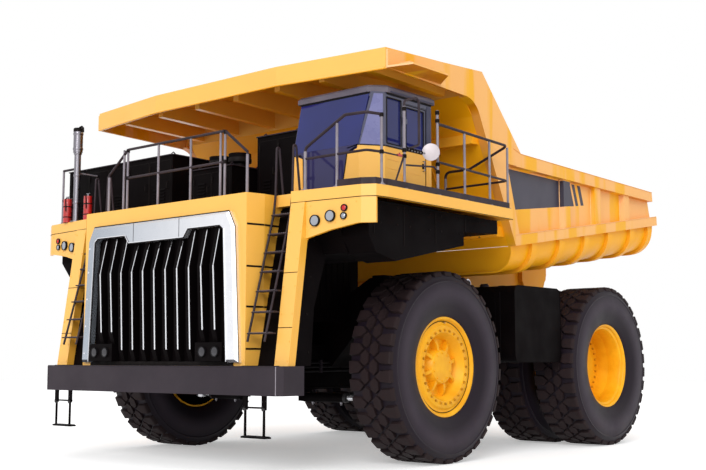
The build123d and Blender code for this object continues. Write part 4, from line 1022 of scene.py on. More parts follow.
two_tone = painted_over(finishes["yellow"], "yellow_and_slate_enamel", above_belt, ("#3C3D54", "#4A4C62"))
for name in ("cab_shell", "cab_door"):
    nodes[name].data.materials[0] = two_tone
nodes["cab_roof"].data.materials[0] = roof_grey
print("two tones on the cab")

# %% Cab panes
left_x = 3.3
belt, roof = 4.9, 5.73
cab_front, brow = aft(-1.88), aft(-1.7)
corner_x = 3.06
corner_wide, corner_deep = 0.24, 0.33
line_z = 4.895


def on_front(x, z):
    """A point on the windscreen's plane, which leans back above the belt."""
    if z <= belt:
        return (x, cab_front, z)
    return (x, cab_front + (brow - cab_front) * (z - belt) / (roof - belt), z)


def on_corner(share, z):
    """A point on the slanted corner, from the windscreen (0) to the side (1)."""
    x, y = corner_x + corner_wide * share, cab_front + corner_deep * share
    if z > belt:
        y = max(y, on_front(x, z)[1])
    return Vector((x, y, z))


front_out = Vector((0, -(roof - belt), brow - cab_front)).normalized()
corner_out = Vector((corner_deep, -corner_wide, 0.0)).normalized()
upper_pane = plate([on_front(x, z) for x, z in ((1.712, 4.9), (1.712, 5.7), (3.125, 5.7),
                                                (3.052, 4.9))], 0.006, front_out)
low_line = [(1.712, 4.862), (1.86, 4.862), (1.915, 4.8), (1.93, 4.2), (2.72, 4.2),
            (2.83, 4.79), (2.985, 4.862)]
low_pane_line = low_line[:1] + [(1.712, belt), (3.052, belt)] + low_line[:0:-1]
lower_pane = plate([on_front(x, z) for x, z in low_pane_line], 0.006, forward)
film = plate([on_corner(s, z) for s, z in ((0.04, 4.9), (0.93, 4.9), (0.93, 5.7),
                                           (0.58, 5.7))], 0.006, corner_out)
print("panes on", round(cab_front, 3), "leaning back to", round(brow, 3))

# %% Cab gaskets and dark lines


def on_side(a, z):
    """A point on the cab's left wall."""
    return (left_x, aft(a), z)


pane_gasket = strip([(x, cab_front - 0.004, z) for x, z in low_line], 0.014, 0.006, forward)
side_gasket = closed_strip(upright_frame(left_x, -1.5, -1.14, 4.94, 5.66), 0.018, 0.006, leftward)
side_line = many([strip([on_side(start, line_z), on_side(end, line_z)], 0.02, 0.006, leftward)
                  for start, end in ((-1.53, -1.095), (-0.465, -0.36))])
corner_bar = strip([on_corner(0.04, 5.04), on_corner(0.93, 5.04)], 0.026, 0.007, corner_out)
corner_line = strip([on_corner(0.02, line_z), on_corner(1.0, line_z)], 0.02, 0.006, corner_out)
front_line = strip([(2.83, cab_front, 4.86), (3.055, cab_front, line_z)], 0.018, 0.006, forward)
under_roof = strip([(1.7, brow - 0.004, 5.716), (3.13, brow - 0.004, 5.716)], 0.026, 0.012, forward)
side_roof = strip([on_side(-1.5, 5.716), on_side(-0.36, 5.716)], 0.026, 0.01, leftward)
cab_lines = [pane_gasket, side_gasket, corner_line, side_line, front_line, under_roof, side_roof]
print("lines on the cab:", len(cab_lines))

# %% Cab panels, bolts and beacon
creases = [strip([on_side(-1.5, z), on_side(-1.09, z - 0.01)], 0.01, 0.004, leftward)
           for z in (4.7, 4.56)]
rear_seam = strip([on_side(-0.425, 4.14), on_side(-0.425, 4.88)], 0.008, 0.003, leftward)
low_panel = plate([on_front(x, z) for x, z in (
    (1.715, 4.15), (1.9, 4.15), (1.89, 4.76), (1.85, 4.81), (1.76, 4.81),
    (1.715, 4.77))], 0.008, forward)
shell_bolts = bolts_at([on_side(a, 4.17) for a in (-1.45, -1.2)], leftward, 0.01)
rear_pillar = plate([on_side(a, z) for a, z in ((-0.47, 4.93), (-0.36, 4.93), (-0.36, 5.69),
                                                (-0.47, 5.69))], 0.005, leftward)
gutter_x = left_x + 0.04
gutter = strip([(gutter_x, aft(-1.45), 5.748), (gutter_x, aft(-0.33), 5.748)], 0.02, 0.012, leftward)
beacon = ring_at((1.95, aft(-0.62), 5.843), upward, [
    (0.0, 0.0), (0.0, 0.055), (0.03, 0.055), (0.035, 0.04), (0.09, 0.036), (0.105, 0.0)], 20)
assemble("cab_trim",
         [(many(cab_lines), gasket_rubber), (film, lavender),
          (many([upper_pane, corner_bar]), finishes["glass"]), (lower_pane, dusk_glass),
          (many(creases + [rear_seam]), finishes["yellow"]), (low_panel, finishes["yellow"]),
          (shell_bolts, finishes["steel"]), (many([rear_pillar, gutter]), slate),
          (beacon, finishes["lamp"])],
         "chassis")

# %% Door fittings
door_x = 3.295


def on_door(a, z, out=0.0):
    """A point on the door's skin, or out from it."""
    return (door_x + out, aft(a), z)


door_seal = closed_strip(upright_frame(door_x, -1.06, -0.5, 4.23, 5.62), 0.012, 0.004, leftward)
glass_seal = closed_strip(upright_frame(door_x, -1.01, -0.55, 4.92, 5.58), 0.018, 0.006, leftward)
belt_line = strip([on_door(-1.06, line_z), on_door(-0.5, line_z)], 0.02, 0.006, leftward)
grip = Shape().tube([on_door(-0.57, 4.62), on_door(-0.57, 4.62, 0.035),
                     on_door(-0.57, 4.78, 0.035), on_door(-0.57, 4.78)], 0.009, 10)
latch = Shape().box(on_door(-0.59, 4.66, -0.002), on_door(-0.55, 4.74, 0.012))
door_crease = strip([on_door(-1.04, 4.56), on_door(-0.62, 4.545)], 0.01, 0.004, leftward)
assemble("door_fittings",
         [(many([glass_seal, belt_line]), gasket_rubber), (door_seal, line_black),
          (grip, finishes["steel"]), (latch, line_black), (door_crease, finishes["yellow"])],
         "cab_door_leaf")

# %% [markdown]
# ## Cab interior
# Through the glass and past the open door one can see the driver's place. A seat cushion is a crowned,
# closed skin that is pulled in between its corners, so it is drawn as a bulging grid with a piped seam and
# two sewn channels, not as a block. A formula gives the same bulge every run, where a cloth run would take
# longer. The dash and the steering wheel are hard, so they are plain slabs and rings.

# %% Seat
vinyl = rubber("black_seat_vinyl", "#2B292C", "#1E1C1F", 0.45, 0.3, 0.006, 0.5, 0.3)


def cushion(low, high, thin):
    """A crowned pad between two corners, thin along one axis, with piping round its edge."""
    middle = (Vector(low) + Vector(high)) / 2
    half = (Vector(high) - Vector(low)) / 2
    axes = [k for k in range(3) if k != thin]
    cells = 20
    inset = 0.01

    def at(a, b, side):
        bulge = max(0.0, (1 - a ** 6) * (1 - b ** 6)) ** 0.4
        channel = sum(math.exp(-((a - c) / 0.06) ** 2) for c in (-0.4, 0.4))
        point = middle.copy()
        point[axes[0]] += (half[axes[0]] - inset) * a * (1 - 0.05 * (1 - b * b))
        point[axes[1]] += (half[axes[1]] - inset) * b * (1 - 0.05 * (1 - a * a))
        point[thin] += side * half[thin] * bulge * (0.9 + 0.1 * (1 - a * a) - 0.14 * channel)
        return point
    grid = [-1 + 2 * k / cells for k in range(cells + 1)]
    row = cells + 1
    quads = [(j * row + k, j * row + k + 1, (j + 1) * row + k + 1, (j + 1) * row + k)
             for j in range(cells) for k in range(cells)]
    pad = Shape()
    for side in (-1, 1):
        pad.take([at(a, b, side) for a in grid for b in grid], quads)
    edge = [at(a, -1, 1) for a in grid] + [at(1, b, 1) for b in grid[1:]]
    edge += [at(a, 1, 1) for a in grid[-2::-1]] + [at(-1, b, 1) for b in grid[-2:0:-1]]
    return pad, Shape().tube(edge + edge[:1], 0.007, 8)


for name, low, high, thin in (
        ("seat_cushion", (2.25, aft(-1.15), 4.45), (2.75, aft(-0.79), 4.6), 2),
        ("seat_back", (2.27, aft(-0.78), 4.605), (2.73, aft(-0.655), 5.24), 1)):
    pad, piping = cushion(low, high, thin)
    seat_piece = assemble(name, [(pad, vinyl), (piping, line_black)], "chassis", smooth=80)

# %% Pedestal, dash and steering wheel
pedestal = Shape().box((2.4, aft(-1.05), 4.185), (2.6, aft(-0.75), 4.24))
pedestal.box((2.46, aft(-1.0), 4.23), (2.54, aft(-0.8), 4.44))
dash = Shape().slab([(aft(-1.795), 4.185), (aft(-1.605), 4.185), (aft(-1.605), 4.62), (aft(-1.64), 4.7),
                     (aft(-1.795), 4.79)], "X", 1.905, 2.795)
column = Shape().tube([(2.5, aft(-1.62), 4.72), (2.5, aft(-1.45), 4.9)], 0.022, 14)
tilt = Vector((0.0, -0.17, 0.18)).normalized()
wheel_centre = Vector((2.5, aft(-1.45), 4.9))
wheel_radius, half_turns = 0.195, 20
wheel_side = Vector(leftward)
wheel_up = tilt.cross(wheel_side)
round_wheel = []
for k in range(2 * half_turns + 1):
    turn = k * math.pi / half_turns
    spoke = wheel_side * math.cos(turn) + wheel_up * math.sin(turn)
    round_wheel.append(wheel_centre + wheel_radius * spoke)
hoop = Shape().tube(round_wheel, 0.013, 10)
spokes = many([Shape().tube([wheel_centre, round_wheel[k]], 0.011, 8) for k in (0, 20, 30)])
gauges = many([ring_at((2.3 + 0.1 * k, aft(-1.655), 4.7), (0, 1, 0.55), [
    (0.0, 0.0), (0.0, 0.036), (0.018, 0.036), (0.018, 0.03), (0.01, 0.028), (0.01, 0.0)], 18)
               for k in range(5)])
assemble("cab_interior_fittings",
         [(pedestal, line_black), (dash, finishes["dark"]), (column, line_black), (hoop, line_black),
          (spokes, line_black), (gauges, finishes["steel"])],
         "chassis", ["cab_interior"], bevel=0.004)

# %% [markdown]
# ## Dump bed
# The sides carry a dark panel and slanted stripes, sprayed over wall and first post alike, so a
# masked paint does it better than a sheet laid on top. Over the yellow lies a painted pale
# reflection of the white room, broken into painted vertical streaks of stronger yellow. Rock
# polishes the load floor to bare steel, and weld beads close the plates.

# %% Paint of the bed


def side_panel(tree, place):
    """1 inside the dark panel and the two slanted stripes on the bed's sides."""
    axes = add(tree, "ShaderNodeSeparateXYZ", {"Vector": place}).outputs
    across = add(tree, "ShaderNodeMath", {0: axes["X"]}, operation="ABSOLUTE").outputs[0]
    behind = add(tree, "ShaderNodeMath", {0: axes["Y"], 1: -front_y}, operation="ADD").outputs[0]
    raised = add(tree, "ShaderNodeMath", {0: axes["Z"], 1: 4.55}, operation="SUBTRACT").outputs[0]
    # the edges lean forward by 0.36 for each metre up
    slant = add(tree, "ShaderNodeMath", {0: raised, 1: 0.36, 2: behind}, operation="MULTIPLY_ADD")
    inside = None
    # middle and half width of the panel and of both stripes, along the truck
    for middle, half in ((2.948, 1.098), (4.17, 0.055), (4.385, 0.06)):
        band = add(tree, "ShaderNodeMath", {0: slant.outputs[0], 1: middle, 2: half}, operation="COMPARE")
        if inside is None:
            inside = band
        else:
            inside = add(tree, "ShaderNodeMath", {0: inside.outputs[0], 1: band.outputs[0]},
                         operation="MAXIMUM")
    # the foot rises to the tail, the top is level, and only the walls' outside counts
    foot = add(tree, "ShaderNodeMath", {0: behind, 1: 0.1365, 2: 3.992}, operation="MULTIPLY_ADD")
    for test in (add(tree, "ShaderNodeMath", {0: axes["Z"], 1: foot.outputs[0]}, operation="GREATER_THAN"),
                 add(tree, "ShaderNodeMath", {0: axes["Z"], 1: 4.958}, operation="LESS_THAN"),
                 add(tree, "ShaderNodeMath", {0: across, 1: 3.41}, operation="GREATER_THAN")):
        inside = add(tree, "ShaderNodeMath", {0: inside.outputs[0], 1: test.outputs[0]},
                     operation="MULTIPLY")
    return inside.outputs[0]


def painted_reflection_streaks(tree, place):
    """Painted reflection streaks that run down a wall, half a metre or so apart."""
    stretched = add(tree, "ShaderNodeMapping", {"Vector": place, "Scale": (0.6, 1.7, 0.18)})
    noise = add(tree, "ShaderNodeTexNoise", {"Vector": stretched.outputs["Vector"], "Scale": 1.0,
                                             "Detail": 3.0})
    return add(tree, "ShaderNodeMapRange", {"Value": noise.outputs["Fac"], "From Min": 0.5,
                                            "From Max": 0.58}).outputs["Result"]


def polished(tree, place):
    """1 on what looks up inside the bed, broken up where paint is left."""
    up = facing(tree, (0.0, -0.2, 1.0), 0.55, 0.9)
    noise = add(tree, "ShaderNodeTexNoise", {"Vector": place, "Scale": 1.3, "Detail": 8.0,
                                             "Roughness": 0.7})
    left = add(tree, "ShaderNodeMapRange", {"Value": noise.outputs["Fac"], "From Min": 0.42,
                                            "From Max": 0.5})
    return add(tree, "ShaderNodeMath", {0: up, 1: left.outputs["Result"]}, operation="MULTIPLY").outputs[0]


# a pale colour painted on sunward faces as the room's reflection, a painted shade colour below, and painted
# yellow reflection streaks over it
side_paint_with_painted_sheen = enamel("side_enamel_painted_sheen", "#F2A80E", "#EE9F08", 0.4, wave_mm=5.0, specular=0.35,
               painted_highlight="#F3C08A", highlight_amount=1.0, painted_under_shade="#D98204")
reflection_streaked = painted_over(side_paint_with_painted_sheen, "side_enamel_reflection_streaks", painted_reflection_streaks, ("#F0B010", "#EFA60C"))
side_paint = painted_over(reflection_streaked, "side_enamel_with_panel", side_panel, ("#45424F", "#383541"))
worn_floor = painted_over(bed_yellow, "worn_bed_enamel", polished, ("#8B8580", "#6F6863"))
for name in ("bed_side_left", "bed_side_right"):
    nodes[name].data.materials[0] = side_paint
nodes["bed_floor"].data.materials[0] = worn_floor
print("bed painted")

# %% Beads and trim on the bed
slope = math.tan(math.radians(8.9))


def rail_low(a):
    """Height of the lower edge of the bed's low band, a metres behind the front axle."""
    return 3.595 + (a - 1.74) * slope


wall_x, outer_x = 3.427, 3.5625
bed_parts = []
for a in (3.5, 4.7, 5.93):
    for edge in (a - 0.004, a + 0.244):
        bed_parts.append(weld([(wall_x, aft(edge), rail_low(edge) + 0.19), (wall_x, aft(edge), 4.955)]))
bed_parts.append(weld([(outer_x, aft(a), z) for a, z in ((1.7, 5.297), (1.956, 5.232),
                                                         (7.15, 5.154))], 0.006))
bed_parts.append(weld([(outer_x, aft(a), rail_low(a) + 0.188) for a in (1.76, 7.33)], 0.006))
cap_rail = strip([(3.48, aft(1.99), 5.229), (3.48, aft(7.12), 5.152)], 0.15, 0.006, upward)
tail_low = rail_low(7.34)
tail_end = Shape().box((3.405, aft(7.335), tail_low + 0.01), (3.555, aft(7.362), tail_low + 0.17))
canopy_lip = Shape().tube([(-3.51, aft(-1.8), 6.022), (-1.5, aft(-2.086), 6.022),
                           (1.5, aft(-2.086), 6.022), (3.51, aft(-1.8), 6.022)], 0.022, 12)
top_beads = [weld([(x, aft(-1.6), 6.33), (x, aft(0.7), 6.462)], 0.008)
             for x in (-2.4, -0.8, 0.8, 2.4)]
wall_beads = [weld([(x, aft(1.715), 3.64), (x, aft(0.86), 5.335)], 0.01) for x in (-2.3, 0.0, 2.3)]
floor_beads = [weld([(x, aft(1.95), 3.212), (x, aft(7.2), 3.968)], 0.008)
               for x in (-2.2, -0.75, 0.75, 2.2)]
ears = bolts_at([(s * 1.045, aft(a), z) for s in (-1, 1) for a, z in
                 ((6.2, 3.45), (6.45, 3.45), (6.7, 3.5))], leftward, 0.022)
# the side beads, tail end and cap rail take the side paint with its painted reflection, so they read as
# painted highlight lines
assemble("bed_trim",
         [(both(many(bed_parts + [tail_end])), side_paint_with_painted_sheen), (both(cap_rail), side_paint_with_painted_sheen),
          (many([canopy_lip] + top_beads), finishes["yellow"]),
          (many(wall_beads), bed_yellow), (many(floor_beads), finishes["steel"]),
          (ears, finishes["iron"])], "bed")

# %% [markdown]
# ## Hood, columns and bumper
# These are plain plates in the CAD. Real ones are bolted and welded from sheets, so seams, beads
# and bolts are laid on them, each only as proud as the real thing.

# %% Seams, beads and bolts of the front
cheek_out = (0.976, -0.217, 0)
seams = []
for z in (1.8, 2.42, 3.02, 3.65):
    seams.append(strip([(1.962, aft(-3.15), z), (2.029, aft(-2.855), z)], 0.028, 0.004, cheek_out))
    seams.append(strip([(2.031, aft(-2.845), z), (2.031, aft(-2.37), z)], 0.028, 0.004, leftward))
column_foot, column_tall, column_lean = 1.55, 2.39, 0.325
column_out = Vector((0, -column_tall, -column_lean)).normalized()


def column_y(z):
    """Y of the column's front face, which leans back with height."""
    return aft(-3.1 + column_lean * (z - column_foot) / column_tall)


for z in (2.1, 2.9):
    y = column_y(z) - 0.0005
    seams.append(strip([(2.503, y, z), (2.777, y, z)], 0.01, 0.003, column_out))
sweep = [(2.497, -2.605), (panel_x[0], panel_a[0]), (panel_x[1], panel_a[1]), (3.93, -2.53),
         (3.97, -2.3), (3.97, 0.995)]
fascia = []
for (x0, a0), (x1, a1) in zip(sweep[:-1], sweep[1:]):
    run = Vector((x1 - x0, a1 - a0, 0.0))
    out = (run.y, -run.x, 0.0)
    fascia.append(strip([(x0, aft(a0), 3.946), (x1, aft(a1), 3.946)], 0.01, 0.004, out))
panel_bolts = [(x, panel_y(x), z) for x, z in ((2.86, 3.88), (3.66, 3.88), (2.86, 3.55), (3.3, 3.6))]
column_bolts = [(x, column_y(z), z) for x in (2.53, 2.75)
                for z in (1.62, 1.9, 2.3, 2.7, 3.1, 3.5, 3.85)]
face = aft(-3.322)
side_bead = weld([(2.722, face - 0.001, 1.145), (2.722, face - 0.001, 1.535)], 0.006)
top_bead = weld([(-2.7, face - 0.002, 1.538), (2.7, face - 0.002, 1.538)], 0.005)
# a pale grey line painted on the bumper's corner edge as its highlight
corner_highlight_line = strip([(2.735, face + 0.01, z) for z in (1.14, 1.54)], 0.012, 0.004, (0.7, -0.7, 0))
top_pads = [Shape().box((x - 0.3, aft(-3.27), 1.548), (x + 0.3, aft(-2.86), 1.556))
            for x in (-2.3, 0.0, 2.3)]
hood_hinges = [Shape().tube([(x, aft(-2.42), z - 0.06), (x, aft(-2.42), z + 0.06)], 0.012, 10)
               for x in (-2.034, 2.034) for z in (1.95, 2.75, 3.55)]
assemble("front_trim",
         [(both(many(seams + fascia)), line_black),
          (both(bolts_at(column_bolts, forward, 0.009)), finishes["yellow"]),
          (both(bolts_at(panel_bolts, panel_out, 0.009)), finishes["yellow"]),
          (many([both(side_bead), top_bead]), finishes["dark"]),
          (both(corner_highlight_line), post_grey), (many(top_pads), line_black),
          (many(hood_hinges), finishes["yellow"])], "chassis")

# %% [markdown]
# ## Decks, rails and ladders
# Feet need a hold here, so the plates carry grip bars in rows, which a repeating tree lays down. The
# rails are dark tube on pale posts, joined by collars, and each post has a foot with bolts.

# %% Grip plates
deck_z = 4.1203
grip_step = 0.06


def grip_plate(x0, x1, a0, a1):
    """A thin plate and the raised bars across it, one at each step."""
    base = Shape().box((x0, aft(a0), deck_z - 0.001), (x1, aft(a1), deck_z + 0.004))
    low, high = deck_z + 0.003, deck_z + 0.009
    bar = Shape().slab([(x0 + 0.02, low), (x0 + 0.03, high), (x1 - 0.03, high), (x1 - 0.02, low)],
                       "Y", aft(a0) + 0.02, aft(a0) + 0.032)
    count = max(2, int((a1 - a0 - 0.04) / grip_step))
    return [(base, finishes["dark"]), in_row(bar, finishes["rail"], count, (0.0, grip_step, 0.0))]


grip_parts = []
for area in ((3.36, 3.88, -2.2, 0.9), (2.08, 2.46, -2.55, -1.95), (1.75, 3.3, -0.28, 0.9),
             (-3.88, -3.0, -0.95, 0.9), (-2.4, -0.9, -2.32, -2.24), (-0.4, 1.6, -2.3, -2.2),
             (-0.4, 0.65, -1.3, 0.9), (-2.46, -2.08, -2.55, -2.25), (2.55, 3.3, -2.6, -1.95)):
    grip_parts += grip_plate(*area)
assemble("deck_grips", grip_parts, "chassis")

# %% Posts, collars and the latch
thick, thin = 0.0232, 0.0204
rail_x = 3.91
posts = [(2.72, -2.705, 4.7, thick), (3.285, -2.64, 5.06, thin), (3.56, 0.95, 5.02, thin),
         (2.65, 0.95, 4.76, thick), (-3.5, -2.58, 5.1, thin), (-3.12, -2.58, 5.1, thin)]
posts += [(rail_x, a, top, thin) for a, top in ((-2.384, 5.14), (-1.85, 5.36), (-1.02, 5.44),
                                                (-0.3, 5.19), (0.412, 5.17), (0.95, 5.15))]
posts += [(x, -2.9, 4.76, thick) for x in (-1.7, 1.7)]
posts += [(x, -2.9, 5.17, thin) for x in (-1.3, -1.2, -0.4, 0.4, 1.1, 1.2)]
sleeves = []
feet = []
for x, a, top, radius in posts:
    y = aft(a)
    sleeves.append(Shape().tube([(x, y, deck_z + 0.01), (x, y, top)], radius, 14))
    feet.append(ring_at((x, y, deck_z), upward, [
        (0.0, 0.0), (0.0, 0.055), (0.01, 0.055), (0.014, 0.03), (0.04, 0.026), (0.04, 0.0)], 16))
    feet.append(bolts_at([(x + 0.04, y, deck_z + 0.01), (x - 0.04, y, deck_z + 0.01)], upward, 0.007))
collars = []
for a, z in ((-2.384, 5.14), (-2.384, 4.6), (-1.85, 5.319), (-1.85, 4.61), (-1.85, 4.7),
             (-1.02, 5.4), (-1.02, 5.275), (-1.02, 4.6), (-1.02, 4.483)):
    collars.append(ring_at((rail_x, aft(a), z - 0.028), upward, [
        (0.0, 0.0), (0.0, 0.031), (0.02, 0.034), (0.036, 0.034), (0.056, 0.031), (0.056, 0.0)], 16))
pipe_joints = [ring_at((x, aft(-2.9), z - 0.03), upward, [
    (0.0, 0.0), (0.0, 0.029), (0.06, 0.029), (0.06, 0.0)], 14)
    for x in (-1.2, 1.2) for z in (4.7, 5.17)]
gate_hook = Shape().box((3.896, aft(-2.02), 4.59), (3.924, aft(-1.915), 4.622))
gate_pin = ring_at((rail_x, aft(-1.965), 4.62), upward, [
    (0.0, 0.0), (0.0, 0.009), (0.012, 0.009), (0.014, 0.014), (0.024, 0.013), (0.026, 0.0)], 14)
bracket = Shape().tube([(rail_x, aft(-1.85), 4.735), (3.914, aft(-1.65), 4.715),
                        (3.918, aft(-1.36), 4.72)], 0.014, 10)
bracket_nuts = many([ring_at((3.912, aft(-1.8 + 0.07 * k), 4.73 - 0.002 * k), rearward, [
    (0.0, 0.0), (0.0, 0.03), (0.02, 0.03), (0.02, 0.0)], 10) for k in range(6)])
assemble("rail_fittings",
         [(many(sleeves + feet), post_grey), (many(collars + pipe_joints), line_black),
          (many([gate_hook, gate_pin]), finishes["red"]), (bracket, finishes["steel"]),
          (bracket_nuts, line_black)], "chassis")

# %% Mirror on the rail
glass_disc = ring_at((3.93, aft(-1.22), 4.76), (0.62, -0.78, 0), [
    (-0.02, 0.0), (-0.018, 0.075), (-0.006, 0.118), (0.0, 0.128), (0.002, 0.134), (0.006, 0.134),
    (0.009, 0.126), (0.0088, 0.0)], 40)
clamp = ring_at((rail_x, aft(-1.02), 4.735), upward, [
    (0.0, 0.0), (0.0, 0.036), (0.05, 0.036), (0.05, 0.0)], 16)
stay = Shape().tube([(3.941, aft(-1.02), 4.76), (3.941, aft(-1.1), 4.765),
                     (3.95, aft(-1.19), 4.76)], 0.013, 10)
assemble("rail_mirror", [(glass_disc, finishes["mirror"]), (clamp, line_black), (stay, post_grey)],
         "chassis", ["deck_mirror"])

# %% [markdown]
# ## What stands on the decks
# The cabinets hold the electric drive's controls. They have doors with hinges and handles,
# louvres that let warm air out, and lifting eyes. A louvre repeats up a door, so a row tree
# copies one.
# The stack has clamps and a cap that turns to the side, and the bottles have valves and hoses.

# %% Cabinets


def louvres(x0, x1, face_y, z0, count, outward):
    """Slanted slats on a door, one above the other."""
    slat = Shape().slab([(face_y, z0), (face_y + outward * 0.018, z0 - 0.012),
                         (face_y + outward * 0.018, z0 - 0.006), (face_y, z0 + 0.022)], "X", x0, x1)
    return in_row(slat, finishes["black"], count, (0.0, 0.0, 0.055))


def door_set(x0, x1, face_y, z0, z1, outward):
    """Seam, hinges and a handle of one door."""
    normal = (0, outward, 0)
    line = [(x0, face_y, z0), (x0, face_y, z1), (x1, face_y, z1), (x1, face_y, z0)]
    seam = closed_strip(line, 0.008, 0.003, normal)
    hinge_y = face_y + outward * 0.008
    hinges = [Shape().tube([(x0 + 0.01, hinge_y, z - 0.05), (x0 + 0.01, hinge_y, z + 0.05)], 0.01, 8)
              for z in (z0 + 0.12, z1 - 0.12)]
    middle = (z0 + z1) / 2
    pull_x, pull_y = x1 - 0.06, face_y + outward * 0.035
    pull = Shape().tube([(pull_x, face_y, middle - 0.06), (pull_x, pull_y, middle - 0.05),
                         (pull_x, pull_y, middle + 0.05), (pull_x, face_y, middle + 0.06)], 0.008, 8)
    return many(hinges + [seam, pull])


cabinet_parts = []
for x0, x1, a0, a1, top, doors in ((-3.85, -0.87, -2.2, -1.0, 5.17, 5),
                                   (-0.42, 0.56, -2.15, -1.35, 4.83, 2),
                                   (0.7, 1.64, -1.7, -0.9, 5.33, 2)):
    width = (x1 - x0 - 0.08) / doors
    for face_y, outward in ((aft(a0), -1), (aft(a1), 1)):
        for k in range(doors):
            d0 = x0 + 0.04 + k * width + 0.012
            cabinet_parts.append((door_set(d0, d0 + width - 0.024, face_y, 4.2, top - 0.08, outward),
                                  line_black))
            if (k + (outward > 0)) % 2 == 0:
                cabinet_parts.append(louvres(d0 + 0.1, d0 + width - 0.16, face_y, 4.3, 6, outward))
    rim = [(x0, aft(a0), top), (x1, aft(a0), top), (x1, aft(a1), top), (x0, aft(a1), top)]
    cabinet_parts.append((closed_strip(rim, 0.06, 0.012, upward), finishes["dark"]))
    for x in (x0 + 0.1, x1 - 0.1):
        for a in (a0 + 0.1, a1 - 0.1):
            eye = [(-0.035, 0.0), (-0.035, 0.045), (0.0, 0.07), (0.035, 0.045), (0.035, 0.0)]
            eye_bar = Shape().tube([(x, aft(a) + y, top + z) for y, z in eye], 0.01, 8)
            cabinet_parts.append((eye_bar, finishes["dark"]))
conduit = Shape().tube([(-0.87, aft(-1.6), 4.26), (-0.7, aft(-1.6), 4.24), (-0.6, aft(-1.6), 4.24),
                        (-0.42, aft(-1.6), 4.26)], 0.03, 10)
short_conduit = Shape().tube([(0.56, aft(-1.5), 4.24), (0.62, aft(-1.5), 4.22),
                              (0.7, aft(-1.5), 4.24)], 0.026, 10)
cabinet_parts.append((many([conduit, short_conduit]), gasket_rubber))
assemble("cabinet_fittings", cabinet_parts, "chassis")

# %% Intake caps and stack
cap_parts = []
for x in (-0.15, 0.33):
    cap_parts.append(ring_at((x, aft(-1.75), 4.95), upward, [
        (-0.01, 0.112), (-0.01, 0.196), (0.015, 0.2), (0.06, 0.196), (0.105, 0.17), (0.136, 0.11),
        (0.146, 0.03), (0.148, 0.0), (0.0, 0.0), (0.0, 0.112)], 40))
    cap_parts.append(ring_at((x, aft(-1.75), 4.885), upward, [
        (0.0, 0.1), (0.0, 0.118), (0.03, 0.118), (0.03, 0.1)], 32))
stack_x, stack_y = -3.0, aft(-2.64)
stack_parts = [ring_at((stack_x, stack_y, z), upward, [
    (0.0, 0.05), (0.0, r), (0.012, r + 0.006), (0.036, r + 0.006), (0.048, r), (0.048, 0.05)], 28)
    for z, r in ((4.45, 0.062), (4.95, 0.062), (5.36, 0.068), (5.44, 0.087), (5.72, 0.087))]
stack_parts.append(ring_at((stack_x, stack_y, deck_z), upward, [
    (0.0, 0.0), (0.0, 0.11), (0.016, 0.11), (0.024, 0.066), (0.03, 0.0)], 28))
rain_cap = ring_at((stack_x, stack_y, 5.8), upward, [
    (-0.02, 0.0), (-0.02, 0.089), (0.03, 0.091), (0.05, 0.08), (0.06, 0.0)], 28)
side_pipe = Shape().tube([(x, stack_y, z) for x, z in ((stack_x, 5.83), (-2.96, 5.86), (-2.9, 5.87),
                                                       (-2.86, 5.84), (-2.855, 5.76))], 0.018, 10)
stack_stay = Shape().tube([(stack_x, stack_y + 0.03, 5.02), (stack_x, aft(-2.4), 5.02),
                           (stack_x, aft(-2.2), 5.02)], 0.014, 8)
print("rings on the stack:", len(stack_parts))

# %% Bottles with their valves, hoses and straps
bottle_y = aft(-2.68)
bottle_parts = []
valve_parts = []
hose_parts = []
for x in (-3.21, -2.6):
    bottle_parts.append(ring_at((x, bottle_y, deck_z), upward, [
        (0.0, 0.0), (0.0, 0.07), (0.012, 0.0765), (0.37, 0.0765), (0.405, 0.066), (0.43, 0.04),
        (0.436, 0.0)], 28))
    valve_parts.append(ring_at((x, bottle_y, 4.553), upward, [
        (-0.01, 0.0), (-0.01, 0.022), (0.03, 0.022), (0.034, 0.012), (0.05, 0.012), (0.052, 0.0)], 14))
    valve_parts.append(Shape().tube([(x - 0.05, bottle_y, 4.6), (x, bottle_y, 4.592),
                                     (x + 0.06, bottle_y, 4.604)], 0.007, 8))
    hose_parts.append(Shape().tube([(x, bottle_y - 0.02, 4.575), (x + 0.03, bottle_y - 0.07, 4.55),
                                    (x + 0.06, bottle_y - 0.085, 4.45),
                                    (x + 0.055, bottle_y - 0.078, 4.32)], 0.01, 8))
    hose_parts += [ring_at((x, bottle_y, z), upward, [
        (0.0, 0.07), (0.0, 0.0785), (0.02, 0.0785), (0.02, 0.07)], 28) for z in (4.21, 4.4)]
assemble("stack_and_bottles",
         [(many(cap_parts), line_black), (many(stack_parts), finishes["steel"]),
          (many([rain_cap, side_pipe]), line_black), (stack_stay, post_grey),
          (many(bottle_parts), finishes["red"]), (many(valve_parts), finishes["steel"]),
          (many(hose_parts), gasket_rubber)], "chassis")

# %% Ladder treads and the hanging steps
tread_parts = []
for s in (-1, 1):
    for z in (3.8, 3.5, 3.22, 2.93, 2.64, 2.33, 2.02):
        y = aft(-3.2 + (z - 2.0) * 0.5 / 1.83)
        tooth = Shape().box((s * 2.09 - 0.006, y - 0.018, z + 0.009),
                            (s * 2.09 + 0.006, y + 0.128, z + 0.016))
        tread_parts.append(in_row(tooth, post_grey, 9, (s * 0.042, 0.0, 0.0)))
    pins = [ring_at((s * x, aft(-3.288), 0.945), forward, [
        (0.0, 0.0), (0.0, 0.03), (0.026, 0.03), (0.03, 0.018), (0.034, 0.0)], 12) for x in (2.11, 2.49)]
    tread_parts.append((many(pins), finishes["iron"]))
    step_mat = Shape().box((s * 2.3 - 0.22, aft(-3.322), 0.552), (s * 2.3 + 0.22, aft(-3.198), 0.562))
    tread_parts.append((step_mat, gasket_rubber))
assemble("ladder_treads", tread_parts, "chassis")

